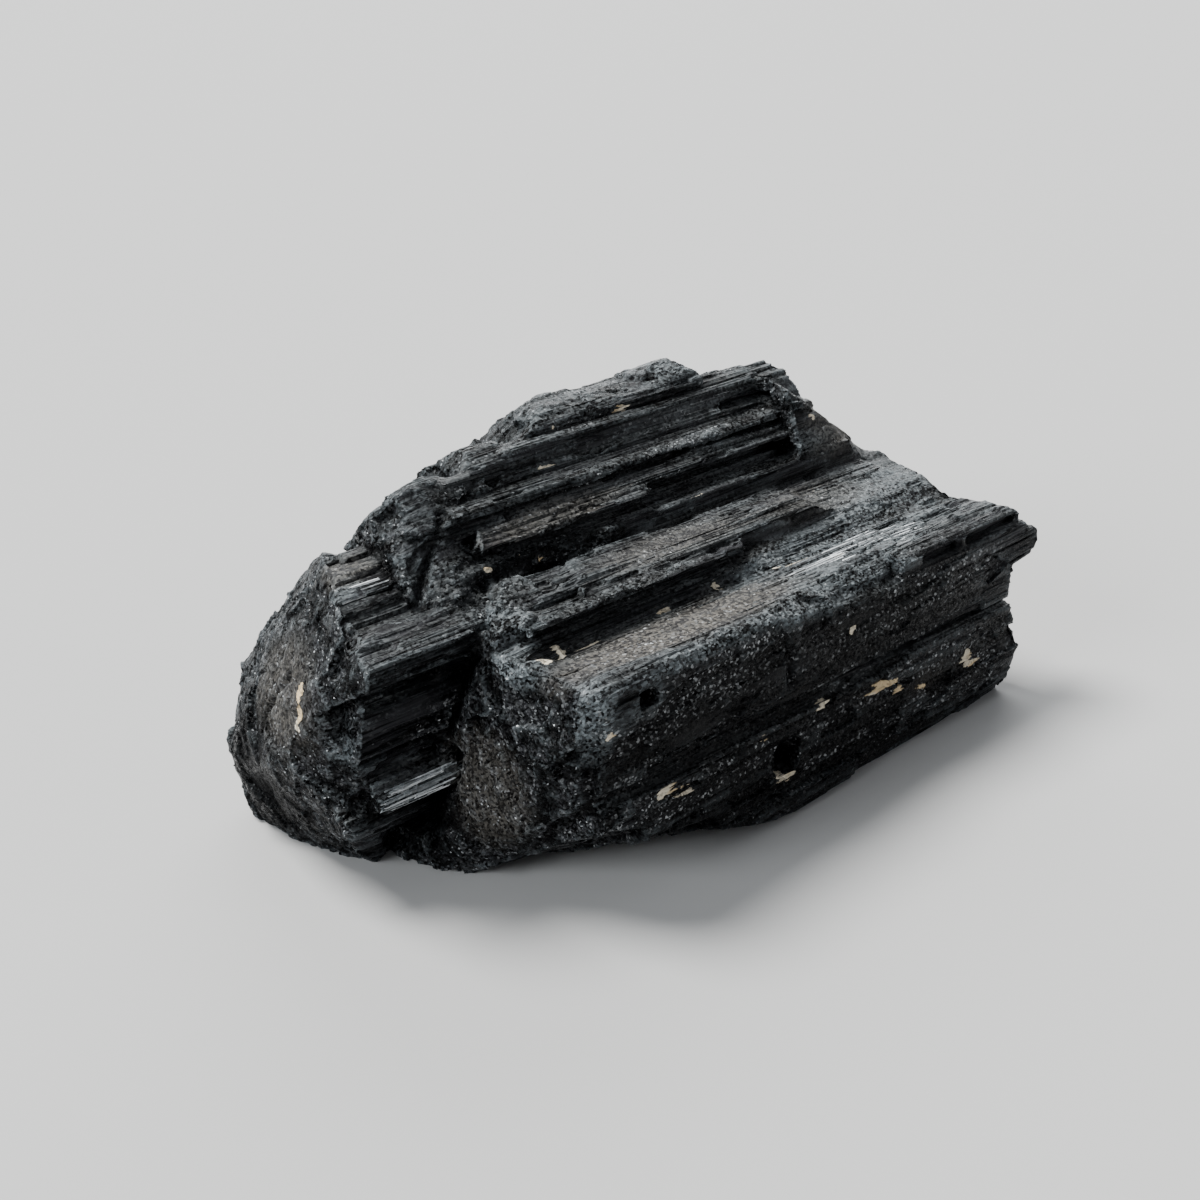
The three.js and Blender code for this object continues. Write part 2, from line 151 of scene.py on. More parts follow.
class Noise:
    """Seeded noise on points in space."""

    TABLE = 256  # the length of the tables, a power of two
    LAYERS = 3  # of layered noise, each half the size of the last
    SHIFT = 17.3  # from one layer to the next, so that their bumps don't line up
    FAR = 9.0  # farther than any centre can be, in cells

    def __init__(self, seed: int) -> None:
        """Draws the tables.

        Args:
            seed: Gives the same noise each time.
        """
        rng = np.random.default_rng(seed)
        order = rng.permutation(self.TABLE)
        self.order = np.concatenate([order, order]).astype(np.int32)
        self.values = rng.random(self.TABLE).astype(np.float32)
        self.centres = (0.1 + 0.8 * rng.random((self.TABLE, 3))).astype(np.float32)
        self.tilts = (2.0 * rng.random((self.TABLE, 3)) - 1.0).astype(np.float32)

    def _number(self, cell: np.ndarray) -> np.ndarray:
        """Gives each whole-number cell a place in the tables."""
        i = cell & (self.TABLE - 1)
        return self.order[self.order[self.order[i[:, 0]] + i[:, 1]] + i[:, 2]]

    def _nearest(self, place: np.ndarray) -> tuple[np.ndarray, np.ndarray, np.ndarray]:
        """Finds the nearest of many scattered centres, one in each cell.

        Args:
            place: Points in a plane or in space, in units of one cell.

        Returns:
            The nearest centre's place in the tables, the way from it to the point, and how much farther the
            next centre is.
        """
        count, axes = place.shape
        cell = np.floor(place).astype(np.int32)
        level = np.zeros((count, 3 - axes), np.int32)
        nearest = np.full(count, self.FAR, np.float32)
        second = np.full(count, self.FAR, np.float32)
        number = np.zeros(count, np.int32)
        gap = np.zeros((count, axes), np.float32)
        for step in itertools.product((-1, 0, 1), repeat=axes):
            other = cell + np.array(step, np.int32)
            their = self._number(np.hstack([other, level]))
            away = place - other - self.centres[their][:, :axes]
            distance = np.einsum("ij,ij->i", away, away)
            closer = distance < nearest
            second = np.where(closer, nearest, np.minimum(second, distance))
            nearest = np.where(closer, distance, nearest)
            number = np.where(closer, their, number)
            gap[closer] = away[closer]
        return number, gap, np.sqrt(second) - np.sqrt(nearest)

    def smooth(self, points: np.ndarray, scale: Triple) -> np.ndarray:
        """Soft noise.

        Args:
            points: Where to read it.
            scale: The size of its bumps along each axis.

        Returns:
            Numbers from -1 to 1.
        """
        place = points / np.array(scale, np.float32)
        cell = np.floor(place).astype(np.int32)
        part = place - cell
        part = part * part * (3.0 - 2.0 * part)
        total = np.zeros(len(points), np.float32)
        for corner in itertools.product((0, 1), repeat=3):
            share = np.ones(len(points), np.float32)
            for axis, step in enumerate(corner):
                share *= part[:, axis] if step else 1.0 - part[:, axis]
            total += share * self.values[self._number(cell + np.array(corner, np.int32))]
        return 2.0 * total - 1.0

    def layered(self, points: np.ndarray, scale: Triple) -> np.ndarray:
        """Soft noise with finer noise on it.

        Args:
            points: Where to read it.
            scale: The size of the largest bumps along each axis.

        Returns:
            Numbers from about -1 to 1.
        """
        total = np.zeros(len(points), np.float32)
        weight = 0.0
        for layer in range(self.LAYERS):
            shrink = 0.5**layer
            moved = points + self.SHIFT * layer
            total += shrink * self.smooth(moved, tuple(s * shrink for s in scale))
            weight += shrink
        return total / weight

    def rods(self, points: np.ndarray, width: float, length: float) -> Cells:
        """Parallel rods along X, each snapped across at its own places.

        Args:
            points: Where to read them.
            width: The rods' usual width.
            length: The usual distance between two snaps.

        Returns:
            What each point knows of its piece of rod.
        """
        number, gap, border = self._nearest(points[:, 1:] / np.float32(width))
        pace = PACE + PACE_SPREAD * self.values[number]
        along = points[:, 0] / length * pace + STAGGER * self.centres[number, 0]
        piece = self._number(np.column_stack([number, np.floor(along).astype(np.int32), number]))
        slope = np.einsum("ij,ij->i", gap, self.tilts[piece][:, :2])
        return Cells(self.values[piece], slope, border)

    def cells(self, points: np.ndarray, scale: Triple) -> Cells:
        """The nearest of many scattered centres.

        Args:
            points: Where to read it.
            scale: How far apart the centres are along each axis.

        Returns:
            What each point knows of its cell.
        """
        number, gap, border = self._nearest((points / np.array(scale, np.float32)).astype(np.float32))
        return Cells(self.values[number], np.einsum("ij,ij->i", gap, self.tilts[number]), border)


@dataclass(frozen=True)
class Relief:
    """Strips or lumps of one size, and how much they shape the surface."""

    size: tuple[float, ...]  # a strip's width and length, or a lump's size along each axis
    shift: float  # moves the pattern, so that no two line up
    step: float  # the height between the lowest and the highest of them
    tilt: float  # how much each one leans
    level: float = 0.5  # the random number of one that neither stands out nor lies back
    seam: float = 0.0  # the depth of the groove around each one
    seam_width: float = 0.1  # its width, in parts of their size

    def height(self, cells: Cells) -> np.ndarray:
        """The height that they add to the surface.

        Args:
            cells: What each point knows of its strip or lump.

        Returns:
            Heights.
        """
        height = self.step * (cells.value - self.level) + self.tilt * cells.slope
        if self.seam:
            height = height - self.seam * (1.0 - eased(cells.border, 0.0, self.seam_width))
        return height


@dataclass(frozen=True)
class Patch:
    """A part of the surface, as a soft ellipsoid."""

    SPILL = 0.3  # the part of the fade that lies outside the reach

    at: Triple
    reach: Triple
    amount: float = 1.0

    def cover(self, points: np.ndarray, soft: float) -> np.ndarray:
        """How much of the patch each point has.

        Args:
            points: Where to read it.
            soft: The part of the reach over which the patch fades.

        Returns:
            Numbers from 0 to the patch's amount.
        """
        middle = np.array(self.at, np.float32)
        reach = np.array(self.reach, np.float32)
        away = np.linalg.norm((points - middle) / reach, axis=1)
        return self.amount * (1.0 - eased(away, 1.0 - soft, 1.0 + soft * self.SPILL))


def covered(points: np.ndarray, patches: tuple[Patch, ...], soft: float = 0.5) -> np.ndarray:
    """The strongest patch at each point.

    Args:
        points: Where to read them.
        patches: The patches.
        soft: The part of the reach over which a patch fades.

    Returns:
        Numbers from 0 to 1.
    """
    total = np.zeros(len(points), np.float32)
    for patch in patches:
        total = np.maximum(total, patch.cover(points, soft))
    return total


@dataclass(frozen=True)
class Crack:
    """An open crack through a few points on the surface."""

    path: tuple[Triple, ...]
    width: float
    depth: float

    def cut(self, points: np.ndarray) -> np.ndarray:
        """How deep the crack is at each point.

        Args:
            points: Where to read it.

        Returns:
            Depths.
        """
        nearest = np.full(len(points), np.inf, np.float32)
        for start, end in itertools.pairwise(self.path):
            a = np.array(start, np.float32)
            along = np.array(end, np.float32) - a
            t = np.clip((points - a) @ along / (along @ along), 0.0, 1.0)
            nearest = np.minimum(nearest, np.linalg.norm(points - a - t[:, None] * along, axis=1))
        return self.depth * np.exp(-((nearest / self.width) ** 2))


@dataclass
class Surface:
    """A mesh as arrays, in millimetres."""

    points: np.ndarray
    normals: np.ndarray
    edges: np.ndarray

    @classmethod
    def read(cls, mesh: bpy.types.Mesh) -> "Surface":
        """Reads a mesh.

        Args:
            mesh: The mesh, in millimetres.

        Returns:
            Its arrays.
        """
        return cls(
            gathered(mesh.vertices, "co", 3),
            gathered(mesh.vertex_normals, "vector", 3),
            gathered(mesh.edges, "vertices", 2, np.int32),
        )

    def eased_over(self, values: np.ndarray, rounds: int) -> np.ndarray:
        """Averages values with their neighbours'.

        Args:
            values: One row for each point.
            rounds: How often.

        Returns:
            The averaged values.
        """
        count = len(values)
        a, b = self.edges[:, 0], self.edges[:, 1]
        neighbours = np.maximum(np.bincount(self.edges.ravel(), minlength=count), 1).astype(np.float32)
        result = values.astype(np.float32)
        columns = result.reshape(count, -1)
        for _ in range(rounds):
            for axis in range(columns.shape[1]):
                column = columns[:, axis]
                total = np.bincount(a, column[b], count) + np.bincount(b, column[a], count)
                columns[:, axis] = 0.5 * column + 0.5 * total / neighbours
        return columns.reshape(values.shape)

    def height_over(self, mean: np.ndarray) -> np.ndarray:
        """How far each point stands out over a smoother shape, along its normal."""
        return np.einsum("ij,ij->i", self.points - mean, self.normals)


class Layer(Enum):
    """The surface properties that are kept on the mesh for the finish."""

    GRAIN = "grain"  # broken and granular, not a crystal face
    FROST = "frost"  # pale worn edges and patches, and a painted sheen on what faces up; past 1.2, a painted glint
    DUST = "dust"  # brown-grey dust on what faces up
    POLISH = "polish"  # clean smooth crystal face
    FLECK = "fleck"  # cream mineral
    HOLLOW = "hollow"  # painted shade deep between ridges, where the colour is pushed to black
    GLINT = "glint"  # how many of the grains get a painted glint; where it is high the tone is also darkened, as painted shade on the front face
    CHANCE = "chance"  # a random number from 0 to 1, the same all over a small piece

    def read(self, mesh: bpy.types.Mesh) -> np.ndarray:
        """Reads the property, one number for each point."""
        return gathered(mesh.attributes[self.value].data, "value", 1).ravel()

    def write(self, mesh: bpy.types.Mesh, values: np.ndarray) -> None:
        """Writes the property on a mesh.

        Args:
            mesh: The mesh.
            values: One number for each point.
        """
        attribute = mesh.attributes.get(self.value) or mesh.attributes.new(self.value, "FLOAT", "POINT")
        attribute.data.foreach_set("value", values.astype(np.float32))


@dataclass
class TourmalineBlock:
    """The whole stone."""

    pitch: float = 0.36  # the fine mesh's cells across the crystals
    stretch: float = 3.0  # how many times longer they are along the crystals
    triangles: int = 196_000
    weld: float = 1e-3  # corners closer than this are made one
    sharp_degrees: float = 32.0  # faces that meet at more than this keep a crisp edge
    wear_rounds: int = 14  # how many times the shape is averaged where it is worn
    hollow_rounds: int = 110  # the same, for the broad shape that hollows lie under
    hollow_fade: int = 4  # the same, for the hollows themselves
    ridge_rounds: int = 8  # the same, for the shape that small ridges stand on
    tilt_rounds: int = 3  # the same, for the way a part of the surface faces
    clean: float = 0.85  # the part of the relief that a smooth patch loses
    stray: Triple = (26.0, 5.0, 5.0)  # the size of a stray granular spot along each axis
    chip: Triple = (10.0, 3.4, 3.4)  # the same, of a chip in the strips
    chip_depth: float = 0.8
    wear: Triple = (9.0, 3.0, 3.0)  # the same, of a worn stretch
    swell: Triple = (22.0, 14.0, 14.0)  # the same, of the whole stone's gentle unevenness
    pit: Triple = (12.0, 7.0, 7.0)  # the same, of a pit in the underside
    pit_depth: float = 1.4
    bend: float = 1.5  # how far the lumps are pushed out of their rows
    bend_size: Triple = (6.0, 6.0, 6.0)
    noise: Noise = field(default_factory=lambda: Noise(seed=41))
    strips: tuple[Relief, ...] = (
        Relief((8.0, 110.0), 0.0, step=1.7, tilt=0.4, level=0.55),
        Relief((3.6, 80.0), 9.0, step=0.7, tilt=0.35, seam=0.3, seam_width=0.18),
        Relief((1.4, 40.0), 23.0, step=0.12, tilt=0.2, seam=0.12, seam_width=0.25),
    )
    blocks: Relief = Relief((16.0, 11.0, 11.0), 3.0, step=0.6, tilt=1.3)
    lumps: Relief = Relief((6.5, 5.0, 5.0), 0.0, step=0.25, tilt=0.6, seam=0.25, seam_width=0.1)
    bits: Relief = Relief((2.3, 1.8, 1.8), 11.0, step=0.1, tilt=0.25)
    fleck_fade: float = 0.6  # the part of a fleck's reach over which it fades
    granular: tuple[Patch, ...] = (
        Patch((0.0, -52.5, 49.5), (75.0, 3.2, 3.5), 0.8),  # rim of the front face
        Patch((-58.0, -45.0, 40.0), (7.0, 14.0, 16.0)),  # near corner
        Patch((-30.0, -32.0, 57.5), (32.0, 2.4, 2.5), 0.9),  # edge of the shelf
        Patch((-57.0, -20.0, 60.0), (9.0, 16.0, 9.0)),  # top of the near end
        Patch((0.0, -7.5, 71.0), (55.0, 2.2, 2.4), 0.8),  # second ridge
        Patch((0.0, 9.0, 83.0), (48.0, 7.0, 5.0), 0.75),  # crest
        Patch((22.0, 8.0, 84.0), (12.0, 8.0, 5.0), 0.9),
        Patch((-52.0, -2.0, 74.0), (9.0, 9.0, 6.0), 0.8),
        Patch((8.0, -33.0, 52.0), (14.0, 6.0, 4.0), 0.7),  # where the shelf broke away
        Patch((-66.0, -17.6, 34.0), (12.0, 3.0, 10.0), 0.9),  # under the lobe's overhang
        Patch((-30.0, -46.0, 9.0), (34.0, 9.0, 5.0), 0.9),  # chipped under the front face
        Patch((0.0, -54.0, 38.0), (66.0, 3.5, 10.0), 0.4),  # upper part of the front face
        Patch((16.0, -50.0, 48.0), (24.0, 8.0, 5.0), 0.45),  # the broken slants of its rim
        Patch((60.0, -29.0, 52.0), (24.0, 13.0, 6.0), 0.75),  # top of the far end
        Patch((66.0, -10.0, 62.0), (16.0, 8.0, 8.0), 0.3),
    )
    fine: tuple[Patch, ...] = (
        Patch((0.0, -55.0, 36.0), (95.0, 6.0, 16.0), 0.72),  # the front face, but for a few clean facets
        Patch((8.0, -55.0, 13.0), (95.0, 6.0, 18.0), 0.68),
        Patch((-52.0, -48.0, 20.0), (12.0, 14.0, 30.0), 0.72),
        Patch((30.0, -40.0, 50.0), (26.0, 12.0, 6.0), 0.5),
        Patch((-66.0, -16.0, 35.0), (16.0, 3.0, 12.0), 0.4),
    )
    # where the painted glints gather; on the front face the tone is also darkened here as painted shade
    glittering: tuple[Patch, ...] = (
        Patch((0.0, -55.0, 34.0), (95.0, 5.0, 18.0), 0.8),  # the front face
        Patch((8.0, -55.0, 13.0), (95.0, 5.0, 18.0), 0.8),
        Patch((10.0, -5.0, 76.0), (55.0, 9.0, 8.0), 0.3),  # the upper ridges
        Patch((62.0, -30.0, 50.0), (24.0, 16.0, 8.0), 0.3),
    )
    smooth: tuple[Patch, ...] = (
        Patch((-25.0, -43.5, 51.0), (44.0, 8.5, 4.0)),  # trough
        Patch((68.0, -22.0, 54.0), (22.0, 22.0, 12.0), 0.55),  # worn far end
        Patch((-6.0, -24.0, 58.3), (28.0, 6.0, 3.0)),  # broad clean face
        Patch((38.0, -23.0, 56.5), (16.0, 5.0, 3.0), 0.7),
        Patch((19.5, -30.0, 54.4), (9.0, 2.5, 2.2)),
        Patch((12.0, -1.0, 75.0), (50.0, 3.0, 3.0), 0.7),  # riser under the crest
        Patch((-79.0, -3.0, 68.2), (10.0, 3.2, 2.5), 0.7),  # the lobe's steps
        Patch((-78.0, -17.7, 60.2), (8.0, 3.0, 2.5)),
        Patch((-72.0, -17.5, 43.0), (10.0, 3.0, 5.0), 0.7),
        Patch((-32.0, -54.0, 34.0), (11.0, 3.0, 2.8), 0.9),
        Patch((-8.0, -54.0, 37.0), (14.0, 3.0, 1.6), 0.8),
        Patch((20.0, -54.0, 40.0), (9.0, 3.0, 1.8), 0.8),
        Patch((2.0, -54.0, 30.5), (16.0, 3.0, 1.2), 0.7),
        Patch((62.0, -11.0, 63.0), (14.0, 7.0, 9.0), 0.8),  # far shoulder
        Patch((12.0, 4.5, 83.0), (4.5, 3.5, 3.0)),
        Patch((56.0, -3.0, 72.0), (8.0, 6.0, 7.0), 0.8),
        Patch((-48.0, 1.0, 78.0), (9.0, 4.0, 3.0), 0.6),
        Patch((-89.0, 16.0, 17.0), (7.0, 14.0, 13.0), 0.45),  # dark facet low on the lobe
        Patch((-88.0, 1.0, 44.0), (10.0, 13.0, 15.0), 0.55),  # the lobe's end
        Patch((57.0, -54.0, 46.0), (28.0, 3.5, 2.0), 0.8),  # dark facets under the far rim
    )
    # pale worn patches, with painted highlights on a few shiny spots
    frost_and_glint_spots: tuple[Patch, ...] = (
        Patch((-59.0, -52.0, 45.0), (4.5, 5.0, 9.0), 0.9),
        Patch((-30.0, -53.0, 50.6), (36.0, 2.6, 2.2), 0.8),
        Patch((14.0, -51.0, 48.5), (28.0, 6.0, 4.5), 0.9),
        Patch((30.0, -39.0, 50.0), (32.0, 11.0, 5.0), 0.7),
        Patch((12.0, -36.0, 50.5), (12.0, 4.0, 3.5), 0.9),
        Patch((40.0, -45.0, 49.5), (22.0, 4.0, 2.5), 0.8),
        Patch((60.0, -29.0, 52.0), (24.0, 13.0, 6.0), 0.6),
        Patch((-63.5, -36.0, 53.0), (5.0, 7.0, 5.0)),
        Patch((-58.0, -28.0, 56.0), (7.0, 10.0, 6.0), 0.55),
        # a painted glint on the lobe's top step
        Patch((-80.0, -8.0, 65.6), (7.0, 2.5, 2.2), 0.7),
        Patch((57.0, -11.0, 62.0), (6.0, 4.5, 3.5), 0.8),
        Patch((0.0, 5.0, 82.0), (40.0, 5.0, 4.0), 0.25),
        Patch((22.0, 7.0, 84.0), (10.0, 7.0, 4.0), 0.5),
        Patch((51.8, -14.7, 63.7), (5.0, 3.5, 4.0), 0.95),
        Patch((51.9, -39.8, 48.7), (16.0, 4.0, 2.5), 0.9),
        Patch((69.1, -39.7, 48.2), (5.0, 4.0, 2.5), 0.9),
        Patch((-89.1, -13.1, 36.5), (4.0, 3.0, 3.5), 0.9),
        Patch((70.0, -36.0, 48.5), (6.0, 2.2, 2.0)),
        Patch((-87.0, -9.0, 40.0), (4.0, 5.0, 7.0), 0.7),
        Patch((-75.0, -20.5, 25.0), (8.0, 2.5, 2.2), 0.9),  # a painted highlight on the shiny striae low on the lobe
        Patch((42.6, -55.0, 10.6), (6.0, 2.5, 3.0), 0.6),
    )
    dusty: tuple[Patch, ...] = (
        Patch((-27.0, -44.0, 51.0), (42.0, 7.5, 4.0), 0.8),
        Patch((-6.0, -24.0, 58.3), (28.0, 6.0, 3.0), 0.4),
        Patch((40.0, -25.0, 55.0), (24.0, 8.0, 4.0), 0.4),
        Patch((62.0, -11.0, 63.0), (14.0, 7.0, 9.0), 0.6),
        Patch((-88.0, 6.0, 42.0), (9.0, 18.0, 14.0), 0.55),
        Patch((-65.0, -28.0, 24.0), (6.0, 13.0, 14.0), 0.6),
        Patch((-79.0, -3.0, 68.0), (10.0, 5.0, 4.0), 0.5),
        Patch((-30.0, -12.0, 68.0), (26.0, 4.0, 3.0), 0.45),
        Patch((48.0, -55.0, 16.0), (10.0, 3.0, 4.0), 0.4),
    )
    # painted shade: the colour is darkened where shade falls, in the hollows, slots and pockets, under
    # overhangs and over the front face
    painted_shade: tuple[Patch, ...] = (
        Patch((-68.0, -12.0, 17.0), (9.0, 11.0, 13.0)),  # the hollow beside the lobe
        Patch((-70.0, -17.4, 47.0), (13.0, 3.5, 4.0), 0.9),  # under the lobe's overhang
        Patch((-28.0, -33.2, 53.8), (33.0, 1.6, 1.3), 0.9),  # under the shelf
        Patch((-30.0, -35.5, 52.0), (32.0, 3.0, 2.0), 0.3),
        Patch((-36.0, -15.5, 63.5), (24.0, 1.6, 1.4), 0.9),
        Patch((22.5, -11.5, 63.8), (27.0, 6.0, 2.3)),  # the deep slot
        Patch((-46.6, -52.5, 46.5), (2.6, 5.0, 3.2)),  # the notch
        Patch((42.0, -4.5, 73.0), (11.0, 2.4, 1.8), 0.9),
        Patch((-2.0, -49.0, 16.5), (6.5, 9.0, 5.5)),  # the square pocket
        Patch((-87.0, 20.0, 15.0), (12.0, 20.0, 17.0), 0.9),
        Patch((57.0, -54.0, 45.5), (28.0, 3.5, 1.8), 0.8),
        Patch((0.0, -54.0, 36.0), (85.0, 4.0, 12.0), 0.75),  # most of the front face, which lies in shade
        Patch((10.0, -54.0, 15.0), (85.0, 4.0, 16.0), 0.6),
        Patch((-37.0, -53.0, 26.0), (32.0, 3.0, 1.8), 0.7),
        Patch((-20.0, -50.0, 8.0), (40.0, 10.0, 6.0), 0.8),
    )
    flecks: tuple[Patch, ...] = (
        Patch((-41.5, -54.7, 24.0), (3.4, 6.0, 1.8)),
        Patch((-36.5, -55.0, 21.6), (3.6, 6.0, 1.3), 0.9),
        Patch((-12.0, -54.7, 23.6), (1.8, 6.0, 1.4)),
        Patch((8.5, -54.5, 24.0), (2.0, 6.0, 1.2)),
        Patch((28.3, -54.9, 20.7), (5.4, 6.0, 2.1)),
        Patch((13.0, -55.2, 18.4), (2.1, 6.0, 1.1)),
        Patch((36.5, -55.3, 17.4), (1.8, 6.0, 1.4), 0.9),
        Patch((45.0, -55.4, 15.3), (1.8, 6.0, 1.1), 0.9),
        Patch((53.5, -54.7, 21.2), (1.3, 6.0, 1.1), 0.9),
        Patch((63.5, -55.4, 16.2), (1.9, 6.0, 2.4)),
        Patch((65.0, -55.4, 14.2), (1.7, 6.0, 1.8)),
        Patch((-5.5, -55.3, 11.6), (2.6, 6.0, 1.4)),
        Patch((-1.8, -55.2, 10.4), (2.7, 6.0, 1.7)),
        Patch((18.0, -54.3, 38.4), (1.2, 6.0, 1.2), 0.9),
        Patch((-56.8, -54.2, 42.0), (1.8, 6.0, 1.1), 0.8),
        Patch((-51.6, -35.2, 52.4), (2.2, 2.0, 3.0)),
        Patch((-47.4, -35.2, 52.2), (1.6, 1.6, 3.0)),
        Patch((-42.3, -35.6, 52.0), (1.6, 1.6, 3.0)),
        Patch((-31.0, -35.2, 51.8), (1.6, 1.5, 3.0)),
        Patch((-20.5, -35.2, 51.5), (1.6, 1.5, 3.0)),
        Patch((-5.0, -35.2, 51.0), (1.6, 1.5, 3.0)),
        Patch((42.5, -21.8, 55.0), (1.5, 1.4, 3.0)),
        Patch((-51.8, -15.8, 64.2), (1.5, 1.2, 2.0), 0.9),
        Patch((-42.5, -15.7, 64.1), (0.9, 1.0, 2.0), 0.85),
        Patch((-38.2, -16.3, 61.4), (0.8, 0.9, 2.0), 0.8),
        Patch((11.5, -15.7, 62.6), (1.3, 1.5, 3.0), 0.8),
        Patch((18.5, -2.8, 74.6), (0.8, 1.6, 0.8), 0.8),
        Patch((3.0, 1.6, 79.5), (2.8, 2.5, 1.6)),
        Patch((-17.8, 2.2, 80.7), (1.4, 2.0, 1.4), 0.8),
        Patch((-22.9, -3.1, 74.8), (1.3, 2.0, 1.2), 0.8),
        Patch((-57.8, -37.1, 52.8), (2.6, 2.2, 3.0)),
        Patch((-91.2, -2.6, 45.6), (6.0, 1.5, 2.8)),
        Patch((-91.2, -3.8, 42.0), (6.0, 1.5, 2.2)),
        Patch((-91.2, -3.0, 39.2), (6.0, 1.2, 2.0), 0.9),
        Patch((55.2, -12.7, 68.4), (1.8, 1.6, 1.6), 0.9),
        Patch((42.5, -21.3, 55.2), (1.3, 1.2, 2.0), 0.9),
        Patch((14.5, -36.8, 49.8), (2.2, 1.4, 2.0)),
        Patch((25.0, -42.6, 49.5), (8.0, 0.8, 2.0), 0.8),
    )
    cracks: tuple[Crack, ...] = (
        Crack(((-69.0, -14.5, 62.3), (-63.4, -11.8, 68.6), (-56.4, -7.3, 73.7)), 0.9, 2.2),
        Crack(((-62.0, -25.0, 58.0), (-57.0, -19.0, 61.0), (-53.5, -16.5, 61.5)), 0.8, 1.8),
        Crack(
            ((-62.5, -25.0, 57.5), (-64.0, -20.0, 50.0), (-64.0, -19.5, 38.0), (-64.0, -20.0, 26.0)), 1.0, 2.6
        ),
        Crack(((-48.5, -4.5, 74.0), (-44.0, -3.0, 76.0)), 0.7, 1.2),
        Crack(((71.7, -44.0, 48.2), (72.0, -40.0, 48.4), (74.5, -41.5, 48.2)), 0.6, 1.2),
        Crack(((-3.4, -54.3, 41.0), (-3.0, -54.3, 34.0)), 1.1, 1.6),
        Crack(((-88.0, 4.0, 46.0), (-89.0, 12.0, 36.0), (-88.0, 15.0, 28.0)), 0.8, 1.4),
        Crack(((-86.0, -8.0, 52.0), (-88.0, -3.0, 44.0)), 0.7, 1.2),
    )

    def build(self, finish: bpy.types.Material) -> bpy.types.Object:
        """Makes the stone.

        Args:
            finish: The material.

        Returns:
            The finished piece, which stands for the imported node.
        """
        fine = self._refined()
        surface = Surface.read(fine)
        LOG.info("fine mesh: %d points", len(surface.points))
        # how deep each point lies, for the painted shade in the hollows
        hollow = self._hollow_shade(surface)
        points = self._carved(surface)
        fine.vertices.foreach_set("co", points.ravel())
        fine.update()
        Layer.HOLLOW.write(fine, hollow)
        stone = linked("stone", fine)
        self._thin(stone)
        self._paint(stone.data)
        stone.data.transform(Matrix.Scale(1.0 / METRE, 4))
        stone.data.materials.clear()
        stone.data.materials.append(finish)
        stone.data.shade_smooth()
        stone.data.set_sharp_from_angle(angle=math.radians(self.sharp_degrees))
        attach(stone, BODY)
        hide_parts(NODE)
        return stone

    def _refined(self) -> bpy.types.Mesh:
        """Copies the node and gives it an even fine mesh, with long cells along the crystals.

        Returns:
            The fine mesh, in millimetres.
        """
        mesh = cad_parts[NODE].data.copy()
        squeeze = Matrix.Diagonal((METRE / self.stretch, METRE, METRE, 1.0))
        mesh.transform(squeeze)
        shape = bmesh.new()
        shape.from_mesh(mesh)
        bmesh.ops.remove_doubles(shape, verts=shape.verts, dist=self.weld)
        shape.to_mesh(mesh)
        shape.free()
        draft = linked("draft", mesh)
        remesh = draft.modifiers.new("grid", "REMESH")
        remesh.mode = "VOXEL"
        remesh.voxel_size = self.pitch
        fine = applied(draft)
        bpy.data.objects.remove(draft)
        fine.transform(Matrix.Diagonal((self.stretch, 1.0, 1.0, 1.0)))
        return fine

    def _level(self, points: np.ndarray) -> np.ndarray:
        """Takes the crystals' dip out of points, so that a strip runs exactly along X.

        Args:
            points: Points on the stone.

        Returns:
            The level points.
        """
        level = points.copy()
        level[:, 2] += DIP * points[:, 0]
        return level

    def _grain(self, surface: Surface, level: np.ndarray) -> np.ndarray:
        """How broken and granular each point is: crystal ends, granular patches and a few strays.

        Args:
            surface: The mesh.
            level: Its points without the dip.

        Returns:
            Numbers from 0 to 1.
        """
        along = np.abs(surface.normals[:, 0])
        ends = eased(along, 0.35, 0.7)
        strays = eased(self.noise.layered(level + 5.0, self.stray), 0.22, 0.42)
        patches = covered(surface.points, self.granular)
        return np.clip(np.maximum(ends, np.maximum(0.7 * strays, patches)), 0.0, 1.0)

    def _strips(self, level: np.ndarray) -> np.ndarray:
        """The height of the strips that the crystal faces are made of, from broad steps to fine striations.

        Args:
            level: Points without the dip.

        Returns:
            Heights.
        """
        height = np.zeros(len(level), np.float32)
        for strips in self.strips:
            height += strips.height(self.noise.rods(level + strips.shift, *strips.size))
        chips = self.noise.cells(level + 31.0, self.chip)
        height -= self.chip_depth * eased(chips.value, 0.84, 0.88)
        return height

    def _crumbs(self, points: np.ndarray) -> np.ndarray:
        """The height of the broken, granular surface.

        Args:
            points: Where to read it.

        Returns:
            Heights.
        """
        bent = points + self.bend * self.noise.smooth(points, self.bend_size)[:, None]
        height = np.zeros(len(points), np.float32)
        for crumbs, place in ((self.blocks, bent), (self.lumps, bent), (self.bits, points)):
            height += crumbs.height(self.noise.cells(place + crumbs.shift, crumbs.size))
        return height

    def _underside(self, surface: Surface) -> tuple[np.ndarray, np.ndarray]:
        """The shallow pits in the flat underside.

        Args:
            surface: The fine mesh.

        Returns:
            Which points belong to the underside, and how high above the floor each one would lie.
        """
        under = eased(-surface.normals[:, 2], 0.6, 0.9) * (surface.points[:, 2] < 0.8)
        pits = self.pit_depth * self.noise.layered(surface.points, self.pit) + 0.1
        pits = np.clip(pits, 0.0, self.pit_depth)
        return under > 0.0, pits * under

